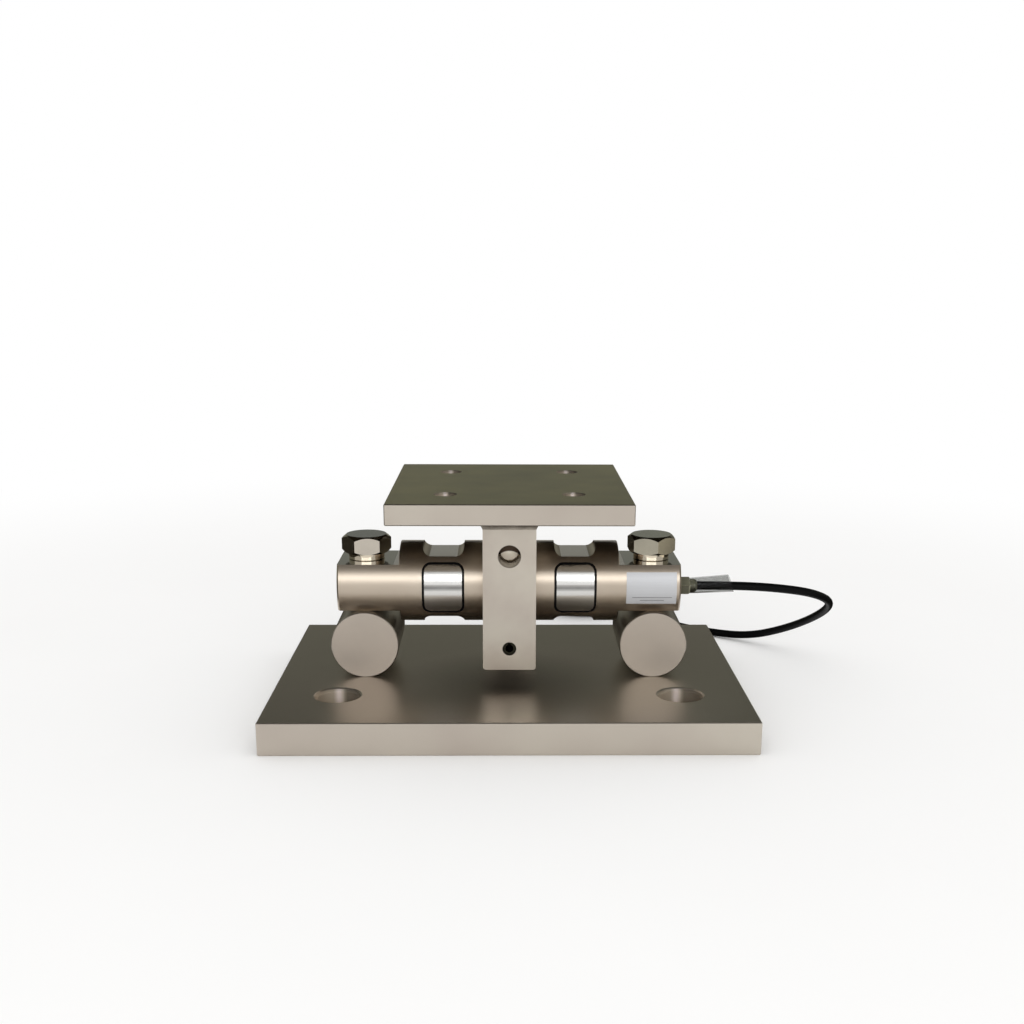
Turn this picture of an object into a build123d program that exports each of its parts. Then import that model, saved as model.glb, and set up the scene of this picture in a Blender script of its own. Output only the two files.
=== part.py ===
from build123d import *
import math
import os

# Tank weighing module, in millimetres. X runs along the load cell towards its cable, Y away
# from the face with the pin holes, Z up. The origin is the middle of the base plate's underside.

# Base plate and the holes that anchor it
base_length = 320.0
base_width = 230.0
base_thickness = 22.0
base_edge_break = 0.6
anchor_hole_dia = 28.0
anchor_hole_chamfer = 2.2
anchor_pitch_x = 230.0
anchor_pitch_y = 120.0

# The load cell lies a little behind the middle of the base plate
cell_line_y = 9.0

# Round support bars under the cell's ends
bar_dia = 47.0
bar_length = 59.0
bar_flat_depth = 0.4
bar_edge_break = 0.6

# Hold-down bolts, M20, with a thick collar under each head
bolt_inset = 18.5
bolt_dia = 20.0
bolt_length = 101.0
bolt_tip_chamfer = 2.0
bolt_clearance = 0.5
head_across_flats = 30.0
head_height = 12.5
head_top_dia = 28.0
head_seat_dia = 30.0
head_chamfer_angle = 40.0
left_head_turn = 7.0
right_head_turn = 40.0
collar_dia = 25.2
collar_thickness = 4.8
collar_edge_break = 0.5

# Load cell: a round double-ended beam with milled flats at its ends
cell_dia = 57.0
cell_length = 238.0
barrel_length = 152.6
end_height = 32.8
end_face_chamfer = 1.2
barrel_edge_radius = 1.0

# Scoops across the top and bottom that thin the two gauge sections
section_pitch = 91.5
scoop_width = 28.7
scoop_depth = 7.1
scoop_corner_radius = 5.6
scoop_cutter_height = 20.0

# Gauge pockets, their covers and the sealing bead round each cover
pocket_width = 29.4
pocket_height = 36.0
pocket_corner = 6.0
cover_width = 26.0
cover_height = 33.0
cover_corner = 4.6
cover_thickness = 2.0
seal_recess = 0.35
cavity_width = 22.0
cavity_height = 26.0
cavity_corner = 4.0
web_thickness = 8.0

# What is sealed inside the pockets
gauge_side = 10.0
gauge_thickness = 0.3
board_length = 18.0
board_height = 6.0
board_thickness = 1.6
board_drop = 9.0
passage_dia = 4.2
bundle_dia = 3.6
link_hole_dia = 3.0
link_hole_side = 8.0

# Load pin in its groove across the top of the cell
pin_dia = 15.0
pin_length = 61.0
pin_above_axis = 27.6
pin_crown = 0.4
pin_end_chamfer = 1.3
pin_clearance = 0.05
groove_clearance = 0.1

# Yoke that straddles the cell, and the slotted pin under the cell that stops it lifting off
yoke_width = 36.0
yoke_depth = 95.0
yoke_above_pin = 28.4
yoke_floor_gap = 10.8
yoke_corner_radius = 2.0
yoke_side_clearance = 1.5
pin_hole_break = 0.2
stop_pin_dia = 9.0
stop_pin_length = 93.0
stop_pin_wall = 1.7
stop_pin_slot = 1.8
stop_pin_chamfer = 0.4
lift_clearance = 3.9

# Top plate and the weld that joins it to the yoke
top_length = 160.0
top_width = 172.0
top_thickness = 14.0
top_edge_break = 0.6
tank_hole_dia = 14.0
tank_hole_chamfer = 0.8
tank_pitch_x = 85.0
tank_pitch_y = 96.0
weld_leg = 10.0
weld_hollow_radius = 16.0

# Rating plate, left blank
label_length = 34.8
label_thickness = 0.25
label_inset = 3.1
label_low_angle = -21.4
label_high_angle = 24.6

# Cable gland in the right end of the cell
gland_offset = 16.0
gland_across_flats = 12.0
gland_hex_length = 7.0
gland_hex_turn = 14.5
gland_nose_dia = 9.6
gland_nose_length = 5.5
gland_nose_radius = 2.5
gland_thread_dia = 10.0
gland_thread_length = 8.0
gland_hex_chamfer = 0.6
grommet_dia = 8.0
grommet_length = 6.0
port_depth = 9.0

# Clear sleeve slipped over the gland's nose and the cable, its lower side left longer
sleeve_long_side = 30.6
sleeve_short_side = 27.4
sleeve_start_gap = 0.4
sleeve_wall = 0.5
sleeve_fit = 0.15
sleeve_flare = 0.75
sleeve_tilt = 3.5

# Cable, its neat round coil on the floor behind the module, and what is on the coil
cable_dia = 6.0
arc_share = 0.45
tie_thickness = 1.2
tie_width = 5.0
coil_centre_x = 70.0
coil_centre_y = 262.0
coil_outer_lane = 47.5
coil_inner_lane = 25.0
coil_layers = 3
coil_lead_in = 24.0
tail_lane = 28.0
tail_start_angle = 150.0
tail_end_angle = 330.0
tie_angles = (25.0, 95.0)
conductor_dia = 1.3
conductor_length = 22.0
conductor_spread = 1.5

# Places that follow from the sizes above
bolt_span = cell_length - 2 * bolt_inset
seat_z = base_thickness + bar_dia - 2 * bar_flat_depth
cell_axis_z = seat_z + end_height / 2
flat_z = cell_axis_z + end_height / 2
pin_axis_z = cell_axis_z + pin_above_axis
stop_pin_z = cell_axis_z - cell_dia / 2 - lift_clearance - stop_pin_dia / 2
yoke_top_z = pin_axis_z + yoke_above_pin
yoke_bottom_z = base_thickness + yoke_floor_gap
gland_y = cell_line_y - gland_offset
end_face_x = cell_length / 2
nose_x = end_face_x + gland_hex_length + gland_nose_length
coil_floor_z = tie_thickness
coil_height = coil_layers * cable_dia
coil_inner = coil_inner_lane - cable_dia / 2
coil_outer = coil_outer_lane + cable_dia / 2
coil_lane_z = coil_floor_z + cable_dia / 2

# The cable's route from the gland's nose to where it joins the coil's outer turn
cable_route = [
    (nose_x, gland_y, cell_axis_z),
    (157.0, gland_y, cell_axis_z),
    (188.0, -5.5, 82.6),
    (219.0, 7.0, 75.5),
    (240.0, 37.0, 60.5),
    (240.0, 75.0, 40.5),
    (224.0, 111.0, 20.0),
    (199.0, 139.0, 5.2),
    (169.0, 159.0, 3.1),
    (141.0, 181.0, 3.2),
    (122.0, 209.0, 3.7),
    (coil_centre_x + coil_outer_lane, coil_centre_y - coil_lead_in, coil_lane_z),
]


def along_x(shape, x, y, z):
    """Turn a shape made along Z so that it lies along X, and set its middle."""
    return Pos(x, y, z) * Rot(0, 90, 0) * shape


def along_y(shape, x, y, z):
    """Turn a shape made along Z so that it lies along Y, and set its middle."""
    return Pos(x, y, z) * Rot(90, 0, 0) * shape


def at_bolts(shape, z):
    """The shape at each of the two hold-down bolts."""
    return [Pos(side * bolt_span / 2, cell_line_y, z) * shape for side in (-1, 1)]


def save(name, shape):
    """Write one node's STEP file."""
    shape.label = name
    export_step(shape, f"parts/{name}.step")


def drilled_plate(length, width, thickness, edge_break, hole_dia, hole_chamfer, pitch_x, pitch_y):
    """A plate about the origin with broken edges and four holes chamfered on both faces."""
    plate = chamfer(Box(length, width, thickness).edges(), edge_break)
    hole = Cylinder(hole_dia / 2, thickness)
    flare = Cone(hole_dia / 2, hole_dia / 2 + hole_chamfer, hole_chamfer)
    flare_z = (thickness - hole_chamfer) / 2
    tool = hole + Pos(0, 0, flare_z) * flare + Pos(0, 0, -flare_z) * Rot(180, 0, 0) * flare
    for place in GridLocations(pitch_x, pitch_y, 2, 2):
        plate -= place * tool
    return plate


def make_base_plate():
    plate = Pos(0, 0, base_thickness / 2) * drilled_plate(
        base_length,
        base_width,
        base_thickness,
        base_edge_break,
        anchor_hole_dia,
        anchor_hole_chamfer,
        anchor_pitch_x,
        anchor_pitch_y,
    )
    for thread in at_bolts(Cylinder(bolt_dia / 2, base_thickness), base_thickness / 2):
        plate -= thread
    return plate


def make_support_bar(x):
    bar = along_y(Cylinder(bar_dia / 2, bar_length), 0, 0, 0)
    bar = chamfer(bar.edges().filter_by(GeomType.CIRCLE), bar_edge_break)
    flat_to_flat = bar_dia - 2 * bar_flat_depth
    bar &= Box(bar_dia, bar_length, flat_to_flat)
    bar -= Cylinder(bolt_dia / 2 + bolt_clearance, bar_dia)
    return Pos(x, cell_line_y, base_thickness + flat_to_flat / 2) * bar


def hex_prism(across_flats, height, turn):
    """A hexagonal prism on the XY plane, its first corner turned from the X axis."""
    return extrude(RegularPolygon(across_flats / 2, 6, major_radius=False, rotation=turn), height)


def make_bolt(x, turn):
    """A hexagon bolt, its head chamfered above and below, seated on its collar."""
    head = hex_prism(head_across_flats, head_height, turn)
    corner_radius = head_across_flats / math.sqrt(3)
    slope = math.tan(math.radians(head_chamfer_angle))
    top_drop = (corner_radius - head_top_dia / 2) * slope
    seat_rise = (corner_radius - head_seat_dia / 2) * slope
    straight = head_height - top_drop - seat_rise
    turned = Pos(0, 0, seat_rise / 2) * Cone(head_seat_dia / 2, corner_radius, seat_rise)
    turned += Pos(0, 0, seat_rise + straight / 2) * Cylinder(corner_radius, straight)
    turned += Pos(0, 0, head_height - top_drop / 2) * Cone(
        corner_radius, head_top_dia / 2, top_drop
    )
    shank = Cylinder(bolt_dia / 2, bolt_length)
    shank = chamfer(shank.edges().group_by(Axis.Z)[0].filter_by(GeomType.CIRCLE), bolt_tip_chamfer)
    bolt = (head & turned) + Pos(0, 0, -bolt_length / 2) * shank
    return Pos(x, cell_line_y, flat_z + collar_thickness) * bolt


def make_collar(x):
    collar = Cylinder(collar_dia / 2, collar_thickness)
    collar = chamfer(collar.edges().filter_by(GeomType.CIRCLE), collar_edge_break)
    collar -= Cylinder(bolt_dia / 2 + bolt_clearance / 2, collar_thickness)
    return Pos(x, cell_line_y, flat_z + collar_thickness / 2) * collar


def cell_cylinder(radius, length):
    """A cylinder on the load cell's own axis."""
    return along_x(Cylinder(radius, length), 0, cell_line_y, cell_axis_z)


def pocket_prism(x, side, width, height, corner, inner, outer):
    """A rounded rectangle driven through the cell's side, between two distances from its axis."""
    outline = RectangleRounded(width, height, corner)
    prism = extrude(outline, outer - inner)
    middle_y = cell_line_y + side * (inner + outer) / 2
    return Pos(x, middle_y, cell_axis_z) * Rot(90, 0, 0) * Pos(0, 0, -(outer - inner) / 2) * prism


def make_scoop_tool():
    """The cutter for one scoop: a slot across the beam whose lower corners are full radii."""
    block = Box(scoop_width, cell_dia, scoop_cutter_height)
    low_edges = block.edges().filter_by(Axis.Y).group_by(Axis.Z)[0]
    block = fillet(low_edges, scoop_corner_radius)
    return Pos(0, 0, scoop_cutter_height / 2 - scoop_depth) * block


def make_load_cell():
    radius = cell_dia / 2
    ends = cell_cylinder(radius, cell_length)
    ends = chamfer(ends.edges().filter_by(GeomType.CIRCLE), end_face_chamfer)
    ends &= Pos(0, cell_line_y, cell_axis_z) * Box(cell_length, cell_dia, end_height)
    barrel = cell_cylinder(radius, barrel_length)
    barrel = fillet(barrel.edges().filter_by(GeomType.CIRCLE), barrel_edge_radius)
    cell = barrel + ends
    scoop = make_scoop_tool()
    for x in (-section_pitch / 2, section_pitch / 2):
        cell -= Pos(x, cell_line_y, cell_axis_z + radius) * scoop
        cell -= Pos(x, cell_line_y, cell_axis_z - radius) * Rot(180, 0, 0) * scoop
        for side in (-1, 1):
            mouth = pocket_prism(x, side, pocket_width, pocket_height, pocket_corner, 0, cell_dia)
            cell -= mouth - cell_cylinder(radius - cover_thickness, cell_length)
            cell -= pocket_prism(
                x, side, cavity_width, cavity_height, cavity_corner, web_thickness / 2, radius
            )
        link = along_y(Cylinder(link_hole_dia / 2, web_thickness), 0, 0, 0)
        cell -= Pos(x + link_hole_side, cell_line_y, cell_axis_z + link_hole_side) * link
    groove_radius = pin_dia / 2 + groove_clearance
    groove = along_y(Cylinder(groove_radius, cell_dia), 0, cell_line_y, pin_axis_z)
    groove += Pos(0, cell_line_y, pin_axis_z + groove_radius) * Box(
        2 * groove_radius, cell_dia, 2 * groove_radius
    )
    cell -= groove
    for hole in at_bolts(Cylinder(bolt_dia / 2 + bolt_clearance, end_height), cell_axis_z):
        cell -= hole
    port_x = end_face_x - port_depth / 2
    cell -= along_x(Cylinder(gland_thread_dia / 2, port_depth), port_x, gland_y, cell_axis_z)
    passage_end = end_face_x - port_depth
    passage_start = -section_pitch / 2
    passage_length = passage_end - passage_start
    cell -= along_x(
        Cylinder(passage_dia / 2, passage_length),
        (passage_start + passage_end) / 2,
        gland_y,
        cell_axis_z,
    )
    return cell


def make_cover(x, side):
    """A gauge cover: a rounded panel cut from a tube of the cell's own outside diameter."""
    panel = pocket_prism(x, side, cover_width, cover_height, cover_corner, 0, cell_dia)
    shell = cell_cylinder(cell_dia / 2, cell_length)
    shell -= cell_cylinder(cell_dia / 2 - cover_thickness, cell_length)
    return panel & shell


def make_cover_seal(x, side):
    """The bead that fills the gap round a cover, a little below the cell's surface."""
    bead = pocket_prism(x, side, pocket_width, pocket_height, pocket_corner, 0, cell_dia)
    bead -= pocket_prism(x, side, cover_width, cover_height, cover_corner, 0, cell_dia)
    shell = cell_cylinder(cell_dia / 2 - seal_recess, cell_length)
    shell -= cell_cylinder(cell_dia / 2 - cover_thickness, cell_length)
    return bead & shell


def make_strain_gauge(x, side):
    foil = Box(gauge_side, gauge_thickness, gauge_side)
    y = cell_line_y + side * (web_thickness + gauge_thickness) / 2
    return Pos(x, y, cell_axis_z) * foil


def make_bridge_board():
    """The small board bonded to the web below the front gauge of the right section."""
    board = Box(board_length, board_thickness, board_height)
    y = cell_line_y - (web_thickness + board_thickness) / 2
    return Pos(section_pitch / 2, y, cell_axis_z - board_drop) * board


def make_wire_bundle(start_x, end_x):
    """Gauge wires in the drilled passage, lying on its lower side."""
    drop = (passage_dia - bundle_dia) / 2
    bundle = Cylinder(bundle_dia / 2, end_x - start_x)
    return along_x(bundle, (start_x + end_x) / 2, gland_y, cell_axis_z - drop)


def make_load_pin():
    """The load pin, its end faces turned to a shallow crown with a chamfer round it."""
    radius = pin_dia / 2
    crown_radius = (radius**2 + pin_crown**2) / (2 * pin_crown)
    pin = Cylinder(radius, pin_length)
    for side in (-1, 1):
        pin &= Pos(0, 0, side * (pin_length / 2 - crown_radius)) * Sphere(crown_radius)
    pin = chamfer(pin.edges().filter_by(GeomType.CIRCLE), pin_end_chamfer)
    return along_y(pin, 0, cell_line_y, pin_axis_z)


def cross_hole(dia, z):
    """The cutter for a hole through both yoke legs, with its edges broken at both faces."""
    hole = Cylinder(dia / 2, yoke_depth)
    flare = Cone(dia / 2, dia / 2 + pin_hole_break, pin_hole_break)
    flare_z = (yoke_depth - pin_hole_break) / 2
    tool = hole + Pos(0, 0, flare_z) * flare + Pos(0, 0, -flare_z) * Rot(180, 0, 0) * flare
    return along_y(tool, 0, cell_line_y, z)


def make_yoke():
    """A block with a round-topped slot for the cell, open below, and two cross holes."""
    height = yoke_top_z - yoke_bottom_z
    yoke = Box(yoke_width, yoke_depth, height)
    low_edges = yoke.edges().filter_by(Axis.Y).group_by(Axis.Z)[0]
    yoke = fillet(low_edges, yoke_corner_radius)
    yoke = Pos(0, cell_line_y, (yoke_top_z + yoke_bottom_z) / 2) * yoke
    slot_radius = cell_dia / 2 + yoke_side_clearance
    yoke -= cell_cylinder(slot_radius, yoke_width)
    slot_drop = cell_axis_z - yoke_bottom_z
    yoke -= Pos(0, cell_line_y, cell_axis_z - slot_drop / 2) * Box(
        yoke_width, 2 * slot_radius, slot_drop
    )
    yoke -= cross_hole(pin_dia + 2 * pin_clearance, pin_axis_z)
    yoke -= cross_hole(stop_pin_dia, stop_pin_z)
    return yoke


def make_stop_pin():
    """A slotted spring pin through both legs, its slot uppermost."""
    pin = Cylinder(stop_pin_dia / 2, stop_pin_length)
    pin = chamfer(pin.edges().filter_by(GeomType.CIRCLE), stop_pin_chamfer)
    pin -= Cylinder(stop_pin_dia / 2 - stop_pin_wall, stop_pin_length)
    pin -= Pos(0, stop_pin_dia / 2, 0) * Box(stop_pin_slot, stop_pin_dia, stop_pin_length)
    return Pos(0, cell_line_y, stop_pin_z) * Rot(90, 0, 0) * pin


def make_top_plate():
    return Pos(0, cell_line_y, yoke_top_z + top_thickness / 2) * drilled_plate(
        top_length,
        top_width,
        top_thickness,
        top_edge_break,
        tank_hole_dia,
        tank_hole_chamfer,
        tank_pitch_x,
        tank_pitch_y,
    )


def flared_profile(width):
    """A face that widens upwards by the weld's leg on each side, its flanks a little hollow."""
    half = width / 2
    top = weld_leg
    right = RadiusArc((half, 0), (half + weld_leg, top), weld_hollow_radius)
    left = RadiusArc((-half - weld_leg, top), (-half, 0), weld_hollow_radius)
    upper = Line((half + weld_leg, top), (-half - weld_leg, top))
    lower = Line((-half, 0), (half, 0))
    return make_face([right, upper, left, lower])


def make_yoke_weld():
    """A concave fillet weld round the yoke's head, under the top plate."""
    across = extrude(Plane.XZ * flared_profile(yoke_width), yoke_depth, both=True)
    along = extrude(Plane.YZ * flared_profile(yoke_depth), yoke_width, both=True)
    bead = (across & along) - Pos(0, 0, weld_leg / 2) * Box(yoke_width, yoke_depth, weld_leg)
    return Pos(0, cell_line_y, yoke_top_z - weld_leg) * bead


def make_rating_plate():
    """A thin blank plate curved round the front of the cell's right end."""
    radius = cell_dia / 2
    ring = cell_cylinder(radius + label_thickness, label_length)
    ring -= cell_cylinder(radius, label_length)
    low = radius * math.sin(math.radians(label_low_angle))
    high = radius * math.sin(math.radians(label_high_angle))
    window = Pos(0, cell_line_y - cell_dia / 2, cell_axis_z + (low + high) / 2) * Box(
        label_length, cell_dia, high - low
    )
    x = end_face_x - label_inset - label_length / 2
    return Pos(x, 0, 0) * (ring & window)


def make_gland_body():
    """The gland: a threaded spigot, a hexagon with a corner near the front, and a domed nose."""
    hexagon = hex_prism(gland_across_flats, gland_hex_length, gland_hex_turn)
    hexagon = chamfer(hexagon.edges().group_by(Axis.Z)[-1], gland_hex_chamfer)
    nose = Pos(0, 0, gland_nose_length / 2) * Cylinder(gland_nose_dia / 2, gland_nose_length)
    nose = fillet(nose.edges().group_by(Axis.Z)[-1], gland_nose_radius)
    spigot = Cylinder(gland_thread_dia / 2, gland_thread_length)
    body = hexagon + Pos(0, 0, gland_hex_length) * nose
    body += Pos(0, 0, -gland_thread_length / 2) * spigot
    whole = gland_hex_length + gland_nose_length + gland_thread_length
    body -= Pos(0, 0, whole / 2 - gland_thread_length) * Cylinder(cable_dia / 2, whole)
    body -= Pos(0, 0, grommet_length / 2 - gland_thread_length) * Cylinder(
        grommet_dia / 2, grommet_length
    )
    return along_x(body, end_face_x, gland_y, cell_axis_z)


def make_grommet():
    grommet = Cylinder(grommet_dia / 2, grommet_length) - Cylinder(cable_dia / 2, grommet_length)
    x = end_face_x - gland_thread_length + grommet_length / 2
    return along_x(grommet, x, gland_y, cell_axis_z)


def make_inner_cable():
    """The cable inside the gland, as far as the bottom of the port."""
    start_x = end_face_x - port_depth
    core = Cylinder(cable_dia / 2, nose_x - start_x)
    return along_x(core, (start_x + nose_x) / 2, gland_y, cell_axis_z)


def make_sleeve():
    """A clear sleeve that flares a little towards its open end, which is cut aslant."""
    near = gland_nose_dia / 2 + sleeve_fit
    far = near + sleeve_flare
    tube = Cone(near + sleeve_wall, far + sleeve_wall, sleeve_long_side)
    tube -= Cone(near, far, sleeve_long_side)
    tube = Pos(0, 0, sleeve_long_side / 2) * tube
    slant = sleeve_long_side - sleeve_short_side
    cut_angle = math.degrees(math.atan2(slant, 2 * (far + sleeve_wall)))
    trim = Pos(0, 0, sleeve_long_side / 2) * Box(
        sleeve_long_side, sleeve_long_side, sleeve_long_side
    )
    tube -= Pos(0, 0, sleeve_long_side - slant / 2) * Rot(0, -cut_angle, 0) * trim
    x = end_face_x + gland_hex_length + sleeve_start_gap
    return Pos(x, gland_y, cell_axis_z) * Rot(0, 90 - sleeve_tilt, 0) * tube


def route_radii(points):
    """For each corner of the route, the largest arc that its two runs leave room for."""
    radii = []
    for before, corner, after in zip(points, points[1:], points[2:]):
        come = Vector(*corner) - Vector(*before)
        leave = Vector(*after) - Vector(*corner)
        half_turn = math.radians(come.get_angle(leave)) / 2
        radii.append(arc_share * min(come.length, leave.length) / math.tan(half_turn))
    return radii


def make_coil():
    """The outer shape of the coil: a rounded ring, with the last turn lying on top of it."""
    section = Pos((coil_inner + coil_outer) / 2, coil_height / 2) * RectangleRounded(
        coil_outer - coil_inner, coil_height, cable_dia / 2
    )
    ring = revolve(Plane.XZ * section, Axis.Z)
    tail_section = Pos(tail_lane, coil_height + cable_dia / 2) * Circle(cable_dia / 2)
    tail_section += Pos(tail_lane, coil_height + cable_dia / 4) * Rectangle(
        cable_dia / 2, cable_dia / 2
    )
    tail = revolve(Plane.XZ * tail_section, Axis.Z, tail_end_angle - tail_start_angle)
    coil = ring + Rot(0, 0, tail_start_angle) * tail
    return Pos(coil_centre_x, coil_centre_y, coil_floor_z) * coil


def make_cable_run(coil):
    radii = route_radii(cable_route)
    print("cable arc radii", [round(radius, 1) for radius in radii])
    path = FilletPolyline(*cable_route, radius=radii)
    section = Plane(path @ 0, z_dir=path % 0) * Circle(cable_dia / 2)
    run = sweep(section, path=path)
    expected = math.pi * (cable_dia / 2) ** 2 * path.length
    print("cable run length", round(path.length, 1))
    print("cable run volume ratio", round(run.volume / expected, 4))
    return run - coil


def make_coil_tie(angle):
    """A flat strap closed round the coil's bundle."""
    width = coil_outer - coil_inner
    middle = Pos((coil_inner + coil_outer) / 2, coil_height / 2)
    outside = RectangleRounded(
        width + 2 * tie_thickness, coil_height + 2 * tie_thickness, cable_dia / 2 + tie_thickness
    )
    inside = RectangleRounded(width, coil_height, cable_dia / 2)
    sweep_angle = math.degrees(2 * tie_width / (coil_inner + coil_outer))
    strap = revolve(Plane.XZ * (middle * (outside - inside)), Axis.Z, sweep_angle)
    return Pos(coil_centre_x, coil_centre_y, coil_floor_z) * Rot(0, 0, angle) * strap


def make_conductors():
    """The four bare conductors that leave the end of the cable, side by side."""
    end = math.radians(tail_end_angle)
    x = coil_centre_x + tail_lane * math.cos(end)
    y = coil_centre_y + tail_lane * math.sin(end)
    z = coil_floor_z + coil_height + cable_dia / 2
    wire = Pos(0, 0, conductor_length / 2) * Cylinder(conductor_dia / 2, conductor_length)
    wires = [Pos(side * conductor_spread, 0, 0) * wire for side in (-1, 1)]
    wires += [Pos(0, side * conductor_spread, 0) * wire for side in (-1, 1)]
    heading = tail_end_angle + 90
    lay = Pos(x, y, z) * Rot(0, 0, heading) * Rot(0, 90, 0)
    return Compound(children=[lay * each for each in wires])


def build():
    os.makedirs("parts", exist_ok=True)
    save("base_plate", make_base_plate())
    save("load_cell_body", make_load_cell())
    sections = (("left", -section_pitch / 2), ("right", section_pitch / 2))
    faces = (("front", -1), ("rear", 1))
    for hand, x in sections:
        for face, side in faces:
            save(f"gauge_cover_{face}_{hand}", make_cover(x, side))
            save(f"cover_seal_{face}_{hand}", make_cover_seal(x, side))
            save(f"strain_gauge_{face}_{hand}", make_strain_gauge(x, side))
    save("bridge_board", make_bridge_board())
    near_wall = (section_pitch - cavity_width) / 2
    far_wall = (section_pitch + cavity_width) / 2
    save("wire_bundle_right", make_wire_bundle(far_wall, end_face_x - port_depth))
    save("wire_bundle_left", make_wire_bundle(-near_wall, near_wall))
    for hand, x, turn in (
        ("left", -bolt_span / 2, left_head_turn),
        ("right", bolt_span / 2, right_head_turn),
    ):
        save(f"support_bar_{hand}", make_support_bar(x))
        save(f"hold_down_bolt_{hand}", make_bolt(x, turn))
        save(f"bolt_collar_{hand}", make_collar(x))
    save("load_pin", make_load_pin())
    save("yoke", make_yoke())
    save("lift_stop_pin", make_stop_pin())
    save("top_plate", make_top_plate())
    save("yoke_weld", make_yoke_weld())
    save("rating_plate", make_rating_plate())
    save("gland_body", make_gland_body())
    save("gland_grommet", make_grommet())
    save("inner_cable", make_inner_cable())
    save("gland_sleeve", make_sleeve())
    coil = make_coil()
    save("cable_run", make_cable_run(coil))
    save("cable_coil", coil)
    for number, angle in enumerate(tie_angles, start=1):
        save(f"coil_tie_{number}", make_coil_tie(angle))
    save("conductor_ends", make_conductors())


build()
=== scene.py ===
import math

import bmesh
import bpy
from bpy.props import FloatProperty, FloatVectorProperty, IntProperty, PointerProperty
from mathutils import Matrix, Vector


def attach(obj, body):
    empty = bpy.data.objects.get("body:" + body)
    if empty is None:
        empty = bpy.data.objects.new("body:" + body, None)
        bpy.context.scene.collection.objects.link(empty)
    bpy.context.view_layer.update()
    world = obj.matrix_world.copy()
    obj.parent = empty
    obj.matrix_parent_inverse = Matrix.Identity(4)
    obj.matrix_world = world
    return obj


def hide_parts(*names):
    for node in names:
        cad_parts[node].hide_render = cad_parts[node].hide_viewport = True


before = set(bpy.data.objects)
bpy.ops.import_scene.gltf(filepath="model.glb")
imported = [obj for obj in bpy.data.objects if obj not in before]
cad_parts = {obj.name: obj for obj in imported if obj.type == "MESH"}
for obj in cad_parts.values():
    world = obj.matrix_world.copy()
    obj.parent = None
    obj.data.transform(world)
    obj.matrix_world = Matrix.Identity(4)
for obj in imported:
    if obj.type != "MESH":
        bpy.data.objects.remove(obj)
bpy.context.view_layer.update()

bl_info = {
    "name": "Tank weighing module",
    "version": (1, 0, 0),
    "blender": (4, 5, 0),
    "location": "3D View > Sidebar > Weighing",
    "description": "Dresses a tank weighing module, its cable and its studio",
    "category": "Object",
}

UP = (0.0, 0.0, 1.0)
DOWN = (0.0, 0.0, -1.0)
FRONT = (0.0, -1.0, 0.0)
REAR = (0.0, 1.0, 0.0)
FRONT_DOWN = (0.0, -0.866, -0.5)

# The values that a noise crowds between, and those of grain and clouds added up
NOISE_SPAN = (0.3, 0.7)
UNEVEN_SPAN = (0.45, 1.15)

# The cable's route from the gland to its coil, in metres
CABLE_ROUTE = [
    (0.1315, -0.007, 0.0846),
    (0.157, -0.007, 0.0846),
    (0.188, -0.0055, 0.0826),
    (0.219, 0.007, 0.0755),
    (0.240, 0.037, 0.0605),
    (0.240, 0.075, 0.0405),
    (0.224, 0.111, 0.020),
    (0.199, 0.139, 0.0052),
    (0.169, 0.159, 0.0031),
    (0.141, 0.181, 0.0032),
    (0.122, 0.209, 0.0037),
    (0.1175, 0.238, 0.0042),
]


def colour(name, description, default):
    return FloatVectorProperty(
        name=name, description=description, default=default, size=3, min=0.0, max=1.0, subtype="COLOR"
    )


def length(name, description, default):
    return FloatProperty(
        name=name, description=description, default=default, min=0.0, precision=5, unit="LENGTH"
    )


def lengths(name, description, default):
    return FloatVectorProperty(
        name=name, description=description, default=default, size=len(default), precision=5,
        unit="LENGTH",
    )


def spot(name, description, default):
    return FloatVectorProperty(
        name=name, description=description, default=default, size=3, precision=5, subtype="TRANSLATION"
    )


def amount(name, description, default):
    return FloatProperty(
        name=name, description=description, default=default, min=0.0, subtype="UNSIGNED"
    )


def share(name, description, default):
    return FloatProperty(
        name=name, description=description, default=default, min=0.0, max=1.0, subtype="FACTOR"
    )


class CameraSettings(bpy.types.PropertyGroup):
    lens: FloatProperty(
        name="Lens", description="Focal length", default=44.91, min=1.0, unit="CAMERA"
    )
    place: spot("Place", "Where the camera stands", (-0.0041, -0.8746, 0.2997))
    pitch: FloatProperty(
        name="Pitch", description="How far the camera looks down", default=math.radians(14.699),
        subtype="ANGLE",
    )
    yaw: FloatProperty(
        name="Yaw", description="Turn about the vertical", default=math.radians(-1.075),
        subtype="ANGLE",
    )
    roll: FloatProperty(
        name="Roll", description="Turn about the line of sight", default=math.radians(0.278),
        subtype="ANGLE",
    )
    shift_x: FloatProperty(
        name="Shift X", description="Sideways shift of the picture", default=-0.0142
    )
    shift_y: FloatProperty(
        name="Shift Y", description="Upward shift of the picture", default=0.0886
    )


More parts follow.
